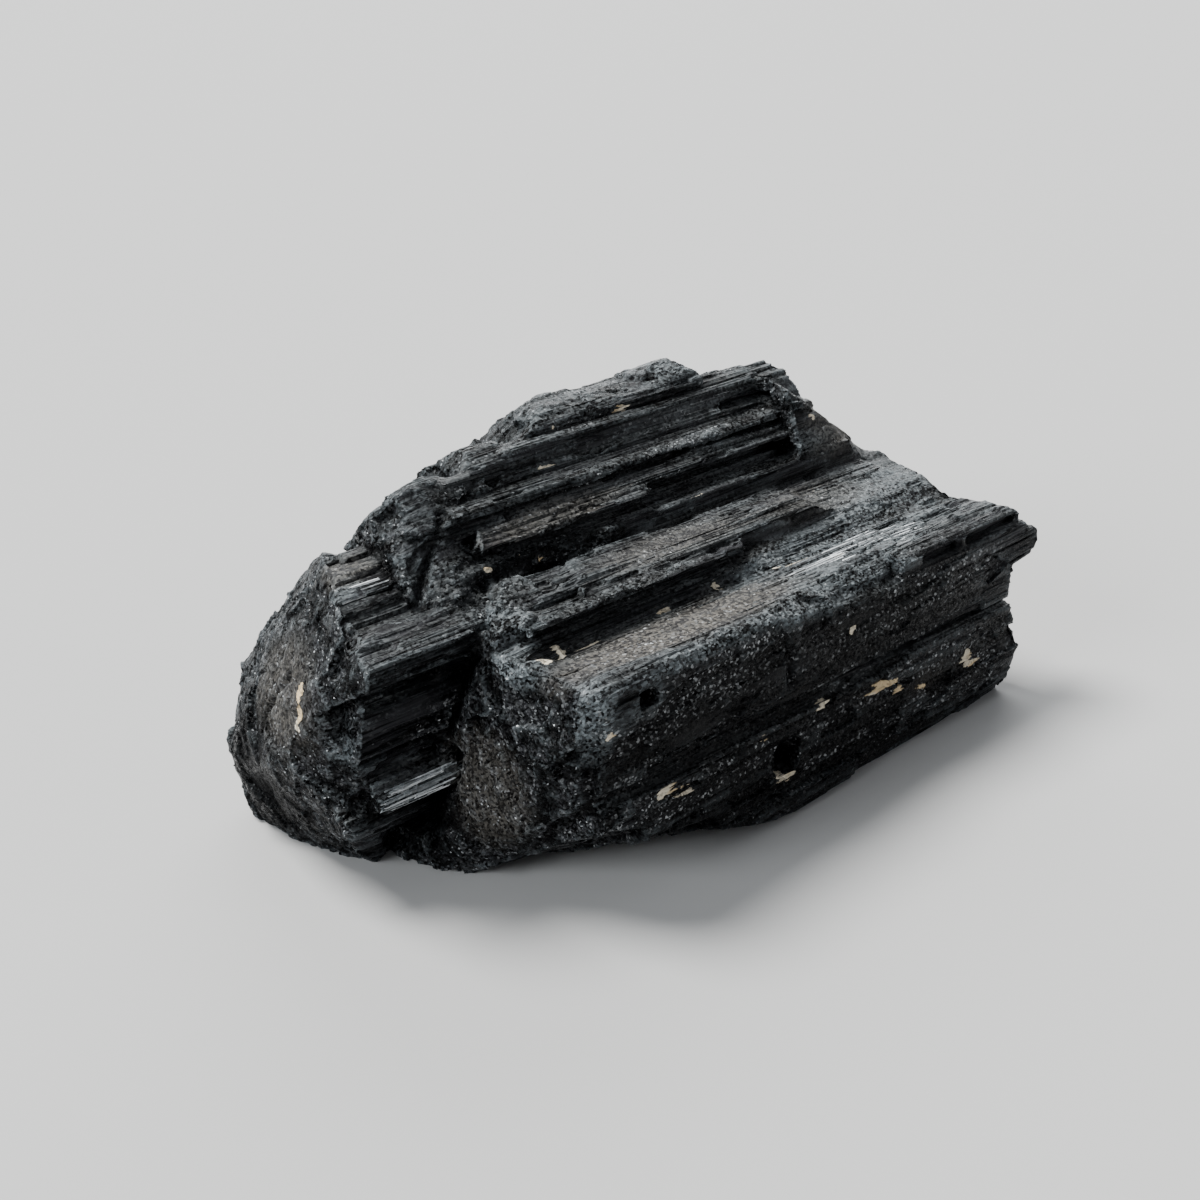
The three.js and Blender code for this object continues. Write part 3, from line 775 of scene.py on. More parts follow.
    def _carved(self, surface: Surface) -> np.ndarray:
        """Moves the fine mesh's points to the finished surface.

        Args:
            surface: The fine mesh.

        Returns:
            The moved points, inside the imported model's box.
        """
        level = self._level(surface.points)
        grain = self._grain(surface, level)
        rough = 1.0 - self.clean * covered(surface.points, self.smooth)
        across = surface.normals.copy()
        across[:, 0] = 0.0
        points = surface.points.copy()
        worn = surface.eased_over(points, self.wear_rounds)
        wear = eased(self.noise.layered(level + 50.0, self.wear), -0.2, 0.35)
        points += (worn - points) * np.maximum(0.15 + 0.85 * wear, grain)[:, None]
        strips = self._strips(level) * (1.0 - grain) * rough
        crumbs = self._crumbs(points) * grain * rough
        swell = 0.5 * self.noise.smooth(points, self.swell) - 0.1
        points += across * strips[:, None] + surface.normals * (crumbs + swell)[:, None]
        for crack in self.cracks:
            points -= surface.normals * crack.cut(surface.points)[:, None]
        under, pits = self._underside(surface)
        points[:, 2] = np.where(under, pits, points[:, 2])
        return boxed(points).astype(np.float32)

    def _hollow_shade(self, surface: Surface) -> np.ndarray:
        """How deep between ridges each point lies, for the painted shade in the hollows.

        Args:
            surface: The fine mesh.

        Returns:
            Numbers from 0 on open faces to 1 in a slot.
        """
        depth = -surface.height_over(surface.eased_over(surface.points, self.hollow_rounds))
        return eased(surface.eased_over(depth, self.hollow_fade), 0.25, 1.3)

    def _thin(self, stone: bpy.types.Object) -> None:
        """Takes triangles out where the surface is flattest, and keeps the rest inside the box.

        Args:
            stone: The stone, in millimetres.
        """
        stone.data.calc_loop_triangles()
        thin = stone.modifiers.new("thin", "DECIMATE")
        thin.ratio = self.triangles / len(stone.data.loop_triangles)
        mesh = applied(stone)
        stone.modifiers.clear()
        stone.data = mesh
        mesh.vertices.foreach_set("co", boxed(Surface.read(mesh).points).ravel())
        mesh.calc_loop_triangles()

    def _paint(self, mesh: bpy.types.Mesh) -> None:
        """Writes the surface's properties on the mesh, the painted shade, sheen and glints among them.

        Args:
            mesh: The stone's mesh, in millimetres.
        """
        surface = Surface.read(mesh)
        points = surface.points
        soft = surface.eased_over(surface.normals, self.tilt_rounds)
        soft /= np.maximum(np.linalg.norm(soft, axis=1, keepdims=True), 1e-6)
        broad = Surface(points, soft, surface.edges)
        calm = covered(points, self.smooth)
        ridge = surface.height_over(surface.eased_over(points, self.ridge_rounds))
        up = broad.normals[:, 2]
        grain = np.maximum(self._grain(broad, self._level(points)), covered(points, self.fine))
        # pale wear on the ridges, and a painted sheen on what faces up
        wear_and_sheen = 0.4 * eased(ridge, 0.08, 0.4) + 0.32 * eased(up, 0.1, 0.9)
        settled = 0.2 * eased(up, 0.3, 0.95)
        layers = {
            Layer.GRAIN: grain * (1.0 - 0.8 * calm),
            Layer.POLISH: calm,
            Layer.FROST: np.clip(wear_and_sheen + covered(points, self.frost_and_glint_spots), 0.0, 1.0),
            Layer.DUST: np.clip(settled + covered(points, self.dusty), 0.0, 1.0),
            Layer.FLECK: covered(points, self.flecks, self.fleck_fade),
            # painted shade: the hollows and the shaded patches
            Layer.HOLLOW: np.maximum(Layer.HOLLOW.read(mesh), covered(points, self.painted_shade)),
            Layer.GLINT: np.clip(FEW_GLINTS + covered(points, self.glittering), 0.0, 1.0),
            Layer.CHANCE: np.full(len(points), 0.5, np.float32),
        }
        for layer, values in layers.items():
            layer.write(mesh, values)


@dataclass
class Skin:
    """The finished stone's surface, for small pieces to be set on."""

    REACH = 2.0  # how far above and below a place the surface is looked for

    points: np.ndarray  # in millimetres
    corners: np.ndarray  # three points for each triangle
    normals: np.ndarray  # one for each triangle
    areas: np.ndarray
    layers: dict[Layer, np.ndarray]  # one number for each triangle
    tree: BVHTree

    @classmethod
    def read(cls, stone: bpy.types.Object) -> "Skin":
        """Reads the stone.

        Args:
            stone: The finished stone, in metres.

        Returns:
            Its surface.
        """
        mesh = stone.data
        mesh.calc_loop_triangles()
        points = gathered(mesh.vertices, "co", 3) * METRE
        corners = gathered(mesh.loop_triangles, "vertices", 3, np.int32)
        a, b, c = (points[corners[:, i]] for i in range(3))
        normals = np.cross(b - a, c - a)
        areas = np.linalg.norm(normals, axis=1)
        normals = normals / np.maximum(areas, 1e-9)[:, None]
        layers = {layer: layer.read(mesh)[corners].mean(axis=1) for layer in Layer}
        tree = BVHTree.FromPolygons(points.tolist(), corners.tolist())
        return cls(points, corners, normals, areas, layers, tree)

    def scatter(
        self, count: int, weight: np.ndarray, rng: np.random.Generator
    ) -> tuple[np.ndarray, np.ndarray]:
        """Picks random places.

        Args:
            count: How many.
            weight: How likely each triangle is, for its area.
            rng: The random numbers.

        Returns:
            The places, and the triangle of each.
        """
        share = self.areas * weight
        picked = rng.choice(len(share), count, p=share / share.sum())
        u, v = rng.random((2, count, 1))
        flip = u + v > 1.0
        u, v = np.where(flip, 1.0 - u, u), np.where(flip, 1.0 - v, v)
        a, b, c = (self.points[self.corners[picked, i]] for i in range(3))
        return a + u * (b - a) + v * (c - a), picked

    def depth(self, place: np.ndarray, outward: np.ndarray) -> float | None:
        """How far below or above a place the surface is.

        Args:
            place: A point near the surface.
            outward: The direction out of the stone.

        Returns:
            The height of the surface over the place, or None where there is none within reach.
        """
        hit = self.tree.ray_cast(Vector(place + self.REACH * outward), Vector(-outward), 2.0 * self.REACH)
        return None if hit[0] is None else self.REACH - hit[3]


@dataclass
class Swarm:
    """Many copies of one small shape, as one joined mesh."""

    name: str
    shape: bmesh.types.BMesh
    skin: Skin
    rng: np.random.Generator
    jitter: float  # how far each corner strays, in parts of the shape's own size
    given: dict[Layer, float] = field(default_factory=dict)  # surface properties not taken from the stone

    def build(
        self, turns: np.ndarray, places: np.ndarray, hosts: np.ndarray, finish: bpy.types.Material
    ) -> bpy.types.Object:
        """Joins the copies.

        Args:
            turns: A 3 x 3 matrix for each copy, with its size and direction.
            places: Where each copy is, in millimetres.
            hosts: The stone's triangle under each copy.
            finish: The material.

        Returns:
            The joined piece.
        """
        corner = np.array([vertex.co for vertex in self.shape.verts], np.float32)
        count, size = len(places), len(corner)
        own = corner[None] + self.jitter * (2.0 * self.rng.random((count, size, 3)) - 1.0)
        points = np.einsum("nij,nkj->nki", turns, own) + places[:, None]
        points = boxed(points.reshape(-1, 3)) / METRE
        loops = [[vertex.index for vertex in face.verts] for face in self.shape.faces]
        faces = [[first + n * size for first in loop] for n in range(count) for loop in loops]
        self.shape.free()
        mesh = bpy.data.meshes.new(self.name)
        mesh.from_pydata(points.tolist(), [], faces)
        for layer in Layer:
            taken = self.rng.random(count) if layer is Layer.CHANCE else self.skin.layers[layer][hosts]
            values = np.full(count, self.given[layer]) if layer in self.given else taken
            layer.write(mesh, np.repeat(values.astype(np.float32), size))
        mesh.materials.append(finish)
        mesh.shade_flat()
        piece = linked(self.name, mesh)
        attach(piece, BODY)
        return piece


@dataclass(frozen=True)
class Grains:
    """Small broken crystals on the granular parts."""

    count: int = 5200
    seed: int = 7
    sizes: tuple[float, float] = (0.45, 2.4)  # the smallest and the largest
    usual: tuple[float, float] = (-0.2, 0.4)  # the middle and the spread of the sizes' logarithm
    proportions: tuple[tuple[float, float], ...] = ((0.8, 1.4), (0.6, 1.0), (0.5, 0.9))
    sunk: float = 0.32  # how deep one sits, in parts of its size
    jitter: float = 0.09

    def build(self, skin: Skin, finish: bpy.types.Material) -> bpy.types.Object:
        """Makes the grains.

        Args:
            skin: The stone's surface.
            finish: The material.

        Returns:
            The joined grains.
        """
        rng = np.random.default_rng(self.seed)
        shape = bmesh.new()
        bmesh.ops.create_icosphere(shape, subdivisions=1, radius=0.5)
        weight = eased(skin.layers[Layer.GRAIN], 0.7, 0.95) * (1.0 - 0.95 * skin.layers[Layer.POLISH])
        weight *= (skin.normals[:, 2] > -0.7) & (skin.layers[Layer.FLECK] < 0.3)
        places, hosts = skin.scatter(self.count, weight, rng)
        size = np.clip(rng.lognormal(*self.usual, self.count), *self.sizes)[:, None]
        flat = np.column_stack([rng.uniform(low, high, self.count) for low, high in self.proportions])
        spin = np.linalg.qr(rng.normal(size=(self.count, 3, 3)))[0]
        turns = spin * (size * flat)[:, None, :]
        places = places - skin.normals[hosts] * (self.sunk * size)
        return Swarm("grains", shape, skin, rng, self.jitter).build(turns, places, hosts, finish)


@dataclass(frozen=True)
class Striae:
    """Thin crystals that stand a little proud of the faces, snapped at both ends."""

    name: str
    tries: int  # how many places are tried; a stria stays where it lies on the surface
    seed: int
    reach: float  # half the usual length
    widths: tuple[float, float]
    zones: tuple[Patch, ...] = ()  # where they are; without any, on all the faces
    given: tuple[tuple[Layer, float], ...] = ((Layer.FLECK, 0.0),)
    spread: float = 0.5  # of the length's logarithm
    flat: float = 0.6  # how far the surface may stray from a stria
    proportions: tuple[float, float] = (0.3, 0.55)  # the height over the width
    roll: float = 0.4  # the largest turn about the length, in radians
    lean: float = 0.8  # how slanted the ends are, in widths
    sunk: float = 0.4  # how deep one sits, in parts of its height
    jitter: float = 0.05
    sides: int = 5

    def _weight(self, skin: Skin) -> np.ndarray:
        """How likely each of the stone's triangles is to carry one.

        Args:
            skin: The stone's surface.

        Returns:
            Numbers from 0 to 1.
        """
        flank = (np.abs(skin.normals[:, 0]) < 0.4) & (skin.normals[:, 2] > -0.8)
        if self.zones:
            return covered(skin.points[skin.corners[:, 0]], self.zones) * flank
        faces = eased(0.6 - skin.layers[Layer.GRAIN], 0.0, 0.4) * (1.0 - 0.95 * skin.layers[Layer.POLISH])
        return faces * flank * (skin.layers[Layer.FLECK] < 0.3) * (skin.layers[Layer.HOLLOW] < 0.7)

    def _fitted(
        self, skin: Skin, place: np.ndarray, along: np.ndarray, outward: np.ndarray, reach: float
    ) -> tuple[np.ndarray, np.ndarray] | None:
        """Lays a stria on the surface, at half its length if the whole of it doesn't fit.

        Args:
            skin: The stone's surface.
            place: Its middle.
            along: The direction of the crystals.
            outward: The direction out of the stone.
            reach: Half its length.

        Returns:
            Its two ends, or None where the surface isn't flat enough.
        """
        for half in (reach, 0.5 * reach):
            heights = [skin.depth(place + side * half * along, outward) for side in (-1.0, -0.5, 0.5, 1.0)]
            if None not in heights and max(map(abs, heights)) < self.flat:
                low = place - half * along + heights[0] * outward
                return low, place + half * along + heights[-1] * outward
        return None

    def build(self, skin: Skin, finish: bpy.types.Material) -> bpy.types.Object:
        """Makes the striae.

        Args:
            skin: The stone's surface.
            finish: The material.

        Returns:
            The joined striae.
        """
        rng = np.random.default_rng(self.seed)
        shape = bmesh.new()
        bmesh.ops.create_cone(
            shape, cap_ends=True, segments=self.sides, radius1=0.5, radius2=0.5, depth=1.0
        )
        along = np.array([1.0, 0.0, -DIP])
        along /= np.linalg.norm(along)
        starts, hosts = skin.scatter(self.tries, self._weight(skin), rng)
        reaches = rng.lognormal(math.log(self.reach), self.spread, self.tries)
        turns, places, kept = [], [], []
        for place, host, reach in zip(starts, hosts, reaches):
            outward = skin.normals[host] - along * (skin.normals[host] @ along)
            outward /= np.linalg.norm(outward)
            ends = self._fitted(skin, place, along, outward, reach)
            if ends is None:
                continue
            low, high = ends
            wide = rng.uniform(*self.widths)
            tall = rng.uniform(*self.proportions) * wide
            roll = rng.uniform(-self.roll, self.roll)
            across = np.cross(outward, along)
            lean = rng.uniform(-self.lean, self.lean, 2)
            sideways = wide * (math.cos(roll) * across + math.sin(roll) * outward) + wide * lean[0] * along
            upward = 2.0 * tall * (math.cos(roll) * outward - math.sin(roll) * across)
            upward = upward + wide * lean[1] * along
            turns.append(np.column_stack([sideways, upward, high - low]))
            places.append(0.5 * (low + high) - self.sunk * tall * outward)
            kept.append(host)
        swarm = Swarm(self.name, shape, skin, rng, self.jitter, dict(self.given))
        return swarm.build(np.array(turns), np.array(places), np.array(kept), finish)


ALL_STRIAE = (
    Striae(name="striae", tries=3600, seed=11, reach=8.0, widths=(0.3, 1.0)),
    Striae(
        name="glinting_striae",
        tries=130,
        seed=12,
        reach=5.0,
        widths=(0.3, 0.65),
        zones=(
            Patch((-75.0, -20.2, 25.0), (11.0, 3.0, 3.0), 0.3),  # low on the lobe
            Patch((25.0, -42.6, 49.5), (10.0, 2.0, 2.5), 0.35),  # behind the front rim
            Patch((46.0, -42.0, 49.0), (20.0, 5.0, 2.5), 0.07),  # the same, farther along
            Patch((-80.0, -8.0, 65.6), (8.0, 2.2, 2.0), 0.08),  # the lobe's steps
        ),
        # past 1.2 this value paints them as bright glints
        given=((Layer.FROST, 4.0), (Layer.HOLLOW, 0.0), (Layer.GRAIN, 0.0), (Layer.FLECK, 0.0)),
    ),
)


@dataclass(frozen=True)
class Facets:
    """What a material knows of its cells."""

    height: Socket  # each cell lies at its own tilt
    tone: Socket  # a random number from 0 to 1 for each cell
    luck: Socket  # another one
    rim: Socket  # the distance to the next cell


class Graph:
    """A short way to write a material's nodes."""

    LEVEL = (0.5, 0.5, 0.5)  # taken from a random colour, it gives tilts to every side
    BEND = 0.8  # how far rods stray sideways, in millimetres
    BEND_SIZE = (24.0, 9.0, 9.0)  # how far apart their bends are along each axis
    LIFT = 0.35  # how much the pieces of a rod differ in height, in widths

    def __init__(self, name: str) -> None:
        """Starts a material.

        Args:
            name: The material's name.
        """
        self.material = bpy.data.materials.new(name)
        self.material.use_nodes = True
        self.nodes = self.material.node_tree.nodes
        self.links = self.material.node_tree.links
        self.shader = self.nodes["Principled BSDF"]
        self.place = self.nodes.new("ShaderNodeTexCoord").outputs["Object"]

    def feed(self, socket: Socket, value: Value | None) -> None:
        """Links a socket to another, or sets it.

        Args:
            socket: The socket that takes the value.
            value: Another socket, or a fixed value; None leaves the socket as it is.
        """
        if isinstance(value, Socket):
            self.links.new(value, socket)
        elif value is not None:
            socket.default_value = value

    def layer(self, layer: Layer) -> Socket:
        """A surface property from the mesh.

        Args:
            layer: The property.

        Returns:
            Its value.
        """
        node = self.nodes.new("ShaderNodeAttribute")
        node.attribute_name = layer.value
        return node.outputs["Fac"]

    def scaled(self, size: Triple, turn: float = 0.0) -> Socket:
        """The place in units of a size.

        Args:
            size: The unit along each axis, in millimetres.
            turn: A turn about Y, in radians, that follows the crystals' dip.

        Returns:
            The scaled place.
        """
        node = self.nodes.new("ShaderNodeMapping")
        node.inputs["Scale"].default_value = tuple(METRE / s for s in size)
        node.inputs["Rotation"].default_value = (0.0, turn, 0.0)
        self.links.new(self.place, node.inputs["Vector"])
        return node.outputs["Vector"]

    def noise(self, place: Socket, detail: float, rough: float) -> Socket:
        """Soft noise, from 0 to 1.

        Args:
            place: The place, in units of the largest bumps.
            detail: How many times finer noise is laid on it.
            rough: How strong the finer noise is.

        Returns:
            The noise.
        """
        node = self.nodes.new("ShaderNodeTexNoise")
        node.inputs["Scale"].default_value = 1.0
        node.inputs["Detail"].default_value = detail
        node.inputs["Roughness"].default_value = rough
        self.links.new(place, node.inputs["Vector"])
        return node.outputs["Fac"]

    def vector(self, kind: str, a: Value, b: Value) -> Socket:
        """One step of arithmetic on vectors.

        Args:
            kind: What is done.
            a: The first vector.
            b: The second vector.

        Returns:
            The result, a number for a dot product and a vector for the rest.
        """
        node = self.nodes.new("ShaderNodeVectorMath")
        node.operation = kind
        self.feed(node.inputs[0], a)
        self.feed(node.inputs[1], b)
        return node.outputs["Value" if kind == "DOT_PRODUCT" else "Vector"]

    def split(self, value: Socket) -> tuple[Socket, ...]:
        """The three parts of a vector.

        Args:
            value: The vector.

        Returns:
            Its parts.
        """
        node = self.nodes.new("ShaderNodeSeparateXYZ")
        self.links.new(value, node.inputs["Vector"])
        return tuple(node.outputs)

    def joined(self, *parts: Value) -> Socket:
        """A vector of up to three numbers.

        Args:
            parts: The numbers.

        Returns:
            The vector.
        """
        node = self.nodes.new("ShaderNodeCombineXYZ")
        for socket, part in zip(node.inputs, parts):
            self.feed(socket, part)
        return node.outputs["Vector"]

    def cells(self, place: Socket, flat: bool = False) -> tuple[bpy.types.Node, Socket]:
        """Scattered cells.

        Args:
            place: The place, in units of one cell.
            flat: Whether they are cells in a plane.

        Returns:
            The cells' node and the distance to the next cell.
        """
        nodes = []
        for feature in ("F1", "DISTANCE_TO_EDGE"):
            node = self.nodes.new("ShaderNodeTexVoronoi")
            node.voronoi_dimensions = "2D" if flat else "3D"
            node.feature = feature
            node.inputs["Scale"].default_value = 1.0
            self.links.new(place, node.inputs["Vector"])
            nodes.append(node)
        return nodes[0], nodes[1].outputs["Distance"]

    def facets(self, size: Triple) -> Facets:
        """Cells that each lie at their own tilt, like crushed glass.

        Args:
            size: The size of one along each axis, in millimetres.

        Returns:
            The cells.
        """
        place = self.scaled(size)
        node, rim = self.cells(place)
        gap = self.vector("SUBTRACT", place, node.outputs["Position"])
        tilt = self.vector("SUBTRACT", node.outputs["Color"], self.LEVEL)
        tone, luck, _ = self.split(node.outputs["Color"])
        return Facets(self.vector("DOT_PRODUCT", gap, tilt), tone, luck, rim)

    def rods(self, width: float, length: float, turn: float) -> Facets:
        """Straight parallel rods along the crystals, each snapped across at its own places.

        Args:
            width: A rod's usual width, in millimetres.
            length: The usual distance between two snaps.
            turn: The crystals' dip, in radians.

        Returns:
            The pieces of rod as cells.
        """
        along, y, z = self.split(self.scaled((length, width, width), turn))
        bend = self.times(self.noise(self.scaled(self.BEND_SIZE), 1.0, 0.55), self.BEND / width)
        place = self.joined(self.plus(y, bend), self.plus(z, bend))
        node, rim = self.cells(place, flat=True)
        first, second, _ = self.split(node.outputs["Color"])
        pace = self.plus(PACE, self.times(first, PACE_SPREAD))
        step = self.math("FLOOR", self.plus(self.times(along, pace), self.times(second, STAGGER)))
        chance = self.nodes.new("ShaderNodeTexWhiteNoise")
        chance.noise_dimensions = "3D"
        self.links.new(self.joined(first, second, step), chance.inputs["Vector"])
        gap = self.vector("SUBTRACT", place, node.outputs["Position"])
        tilt = self.vector("SUBTRACT", chance.outputs["Color"], self.LEVEL)
        tone, luck, lift = self.split(chance.outputs["Color"])
        height = self.plus(self.vector("DOT_PRODUCT", gap, tilt), self.times(lift, self.LIFT))
        return Facets(height, tone, luck, rim)

    def math(self, kind: str, a: Value, b: Value | None = None) -> Socket:
        """One step of arithmetic.

        Args:
            kind: What is done.
            a: The first number.
            b: The second number, where there is one.

        Returns:
            The result.
        """
        node = self.nodes.new("ShaderNodeMath")
        node.operation = kind
        self.feed(node.inputs[0], a)
        self.feed(node.inputs[1], b)
        return node.outputs["Value"]

    def plus(self, first: Value, *others: Value) -> Socket:
        """Adds numbers.

        Args:
            first: The first one.
            others: The others.

        Returns:
            Their sum.
        """
        for other in others:
            first = self.math("ADD", first, other)
        return first

    def times(self, first: Value, *others: Value) -> Socket:
        """Multiplies numbers.

        Args:
            first: The first one.
            others: The others.

        Returns:
            Their product.
        """
        for other in others:
            first = self.math("MULTIPLY", first, other)
        return first

    def minus(self, a: Value, b: Value) -> Socket:
        """Takes one number from another."""
        return self.math("SUBTRACT", a, b)

    def higher(self, a: Value, b: Value) -> Socket:
        """The higher of two numbers."""
        return self.math("MAXIMUM", a, b)

    def ramp(self, value: Value, low: float, high: float, start: Value = 0.0, end: float = 1.0) -> Socket:
        """A smooth ramp between two numbers.

        Args:
            value: The number to ramp.
            low: Where the ramp starts.
            high: Where it ends.
            start: What it gives at its start.
            end: What it gives at its end.

        Returns:
            The ramp.
        """
        node = self.nodes.new("ShaderNodeMapRange")
        node.interpolation_type = "SMOOTHSTEP"
        sockets = ("Value", "From Min", "From Max", "To Min", "To Max")
        for name, given in zip(sockets, (value, low, high, start, end)):
            self.feed(node.inputs[name], given)
        return node.outputs["Result"]

    def blend(self, share: Value, a: Value, b: Value) -> Socket:
        """A colour between two colours.

        Args:
            share: How much of the second one.
            a: The first colour.
            b: The second colour.

        Returns:
            The colour.
        """
        node = self.nodes.new("ShaderNodeMix")
        node.data_type = "RGBA"
        for place, value in ((0, share), (6, a), (7, b)):
            self.feed(node.inputs[place], value)
        return node.outputs[2]

    def between(self, share: Value, a: Value, b: Value) -> Socket:
        """A number between two numbers.

        Args:
            share: How much of the second one.
            a: The first number.
            b: The second number.

        Returns:
            The number.
        """
        node = self.nodes.new("ShaderNodeMix")
        for place, value in ((0, share), (2, a), (3, b)):
            self.feed(node.inputs[place], value)
        return node.outputs[0]

    def bump(self, height: Value, distance: float, normal: Socket | None = None) -> Socket:
        """A bumpy normal.

        Args:
            height: From 0 to 1.
            distance: The height of 1, in millimetres.
            normal: A normal to start from.

        Returns:
            The normal.
        """
        node = self.nodes.new("ShaderNodeBump")
        node.inputs["Distance"].default_value = distance / METRE
        node.inputs["Strength"].default_value = 1.0
        self.feed(node.inputs["Height"], height)
        self.feed(node.inputs["Normal"], normal)
        return node.outputs["Normal"]


def colour(red: float, green: float, blue: float) -> Colour:
    """A colour without transparency."""
    return (red, green, blue, 1.0)


@dataclass(frozen=True)
class Readings:
    """What the stone's finish reads at each point: the mesh's surface properties and the patterns."""

    grain: Socket
    frost: Socket
    dust: Socket
    fleck: Socket
    glint: Socket
    chance: Socket
    unshaded: Socket  # 1 in the open, nearly 0 deep between ridges, where painted shade darkens the colour
    rough: Socket  # nearly 0 on a clean smooth face, 1 on the rest
    rods: Facets
    threads: Facets
    crumbs: Facets
    grit: Facets
    pins: Facets
    cloud: Socket
    mottle: Socket
    fibres: Socket


@dataclass(frozen=True)
class SchorlFinish:
    """Black tourmaline: glassy black strips, granular breaks, pale wear and dust, with painted shade, sheen
    and glints.
    """

    black: Colour = colour(0.0005, 0.0005, 0.0007)
    charcoal: Colour = colour(0.0270, 0.0276, 0.0305)
    # the pale colour of wear, also used for the painted sheen on what faces up
    frost: Colour = colour(0.168, 0.193, 0.206)
    dust: Colour = colour(0.118, 0.110, 0.098)
    shade: Colour = colour(0.030, 0.027, 0.024)  # between the grains of dust
    # the colour of the painted glints
    painted_glint: Colour = colour(0.76, 0.79, 0.81)
    cream: Colour = colour(0.68, 0.61, 0.48)
    tan: Colour = colour(0.60, 0.47, 0.29)
    gloss: float = 0.05  # how strongly a face mirrors what is around it
    rod: tuple[float, float] = (2.6, 48.0)  # width and length of a strip
    thread: tuple[float, float] = (0.95, 20.0)  # the same, of a fine one
    crumb: Triple = (2.0, 1.5, 1.5)  # from here on, size along each axis
    grit: Triple = (0.62, 0.5, 0.5)
    pin: Triple = (0.4, 0.32, 0.32)  # the grains that get the smallest painted glints
    cloud: Triple = (13.0, 4.5, 4.5)
    mottle: Triple = (1.5, 0.9, 0.9)
    fibre: Triple = (16.0, 0.8, 0.8)
    stain: Triple = (14.0, 14.0, 6.0)  # the cream mineral's tan parts
    glint_power: float = 12.0  # the higher, the fewer grains get a painted glint
    pin_power: float = 130.0
    line_height: float = 1.0
    rubble_height: float = 1.1

    def _readings(self, g: Graph) -> Readings:
        """Reads the surface properties and lays the patterns out.

        Args:
            g: The material's nodes.

        Returns:
            All that the finish reads.
        """
        dip = math.atan(DIP)
        return Readings(
            grain=g.layer(Layer.GRAIN),
            frost=g.layer(Layer.FROST),
            dust=g.layer(Layer.DUST),
            fleck=g.layer(Layer.FLECK),
            glint=g.layer(Layer.GLINT),
            chance=g.layer(Layer.CHANCE),
            unshaded=g.minus(1.0, g.times(g.layer(Layer.HOLLOW), 0.93)),
            rough=g.minus(1.0, g.times(g.layer(Layer.POLISH), 0.9)),
            rods=g.rods(*self.rod, dip),
            threads=g.rods(*self.thread, dip),
            crumbs=g.facets(self.crumb),
            grit=g.facets(self.grit),
            pins=g.facets(self.pin),
            cloud=g.noise(g.scaled(self.cloud, dip), 5.0, 0.62),
            mottle=g.noise(g.scaled(self.mottle), 3.0, 0.7),
            fibres=g.noise(g.scaled(self.fibre, dip), 3.0, 0.7),
        )

    def _slots(self, g: Graph, on: Readings) -> Socket:
        """The dark lines between the strips.

        Args:
            g: The material's nodes.
            on: The surface properties and patterns.

        Returns:
            1 on a strip, less in a line.
        """
        broad = g.ramp(on.rods.rim, 0.02, 0.1, g.ramp(on.rods.luck, 0.3, 0.6, 0.8, 0.1), 1.0)
        thin = g.ramp(on.threads.rim, 0.04, 0.2, g.ramp(on.threads.luck, 0.3, 0.7, 1.0, 0.4), 1.0)
        thin = g.between(g.times(on.grain, 0.7), thin, 1.0)
        return g.between(on.rough, 1.0, g.times(broad, thin))

    def _tone(self, g: Graph, on: Readings, slots: Socket) -> Socket:
        """How far the stone's own black goes towards charcoal, darkened by painted shade in the hollows and on
        the front face.

        Args:
            g: The material's nodes.
            on: The surface properties and patterns.
            slots: The dark lines between the strips.

        Returns:
            Numbers from 0 to 1.
        """
        lined = g.plus(g.times(on.rods.tone, 0.45), g.times(on.threads.tone, 0.3), g.times(on.fibres, 0.5))
        blotches = g.ramp(g.plus(on.mottle, g.times(g.minus(on.cloud, 0.5), 0.6)), 0.36, 0.66)
        broken = g.plus(g.times(blotches, 0.6), g.times(on.grit.tone, 0.4))
        broken = g.times(broken, g.ramp(on.rods.luck, 0.2, 0.8, 0.4, 1.25))
        tone = g.times(g.between(on.grain, lined, broken), g.ramp(on.chance, 0.0, 1.0, 0.8, 1.2))
        # painted shade: the tone is darker where the glint layer is high, over the front face above all
        tone = g.times(g.ramp(tone, 0.3, 0.95), g.ramp(on.glint, FEW_GLINTS, 1.0, 1.0, 0.45))
        return g.times(tone, g.times(slots, on.unshaded))

    def _drift(self, g: Graph, on: Readings) -> Socket:
        """The pattern that wear and dust gather in.

        Args:
            g: The material's nodes.
            on: The surface properties and patterns.

        Returns:
            Numbers from about 0 to 1.
        """
        sand = g.times(g.minus(on.grit.tone, 0.5), 0.25)
        small = g.between(on.grain, on.fibres, on.mottle)
        return g.plus(g.times(on.cloud, 0.65), g.times(small, 0.35), sand)

    def _glints(self, g: Graph, on: Readings, dusty: Socket) -> Socket:
        """The painted glints: grains painted pale where they would catch the light.

        Args:
            g: The material's nodes.
            on: The surface properties and patterns.
            dusty: How much dust there is.

        Returns:
            1 on a grain painted as a glint, 0 on the rest.
        """
        loose = g.ramp(g.higher(on.grain, dusty), 0.2, 0.7, 0.15, 1.0)
        banded = g.times(on.glint, g.ramp(on.rods.luck, 0.35, 0.85, 0.12, 1.0))
        picked = g.math("POWER", on.grit.luck, self.glint_power)
        picked = g.times(picked, g.ramp(on.cloud, 0.35, 0.6, 0.4, 1.0), on.unshaded)
        grains = g.times(picked, g.times(loose, banded))
        pins = g.math("POWER", on.pins.luck, self.pin_power)
        pins = g.times(pins, g.ramp(on.cloud, 0.42, 0.62, 0.1, 1.0), loose, on.unshaded)
        # the pale striae, painted as bright glints
        striae = g.times(g.ramp(on.frost, 1.2, 2.0), g.ramp(on.chance, 0.3, 0.8, 0.15, 1.0))
        return g.higher(g.higher(grains, pins), striae)

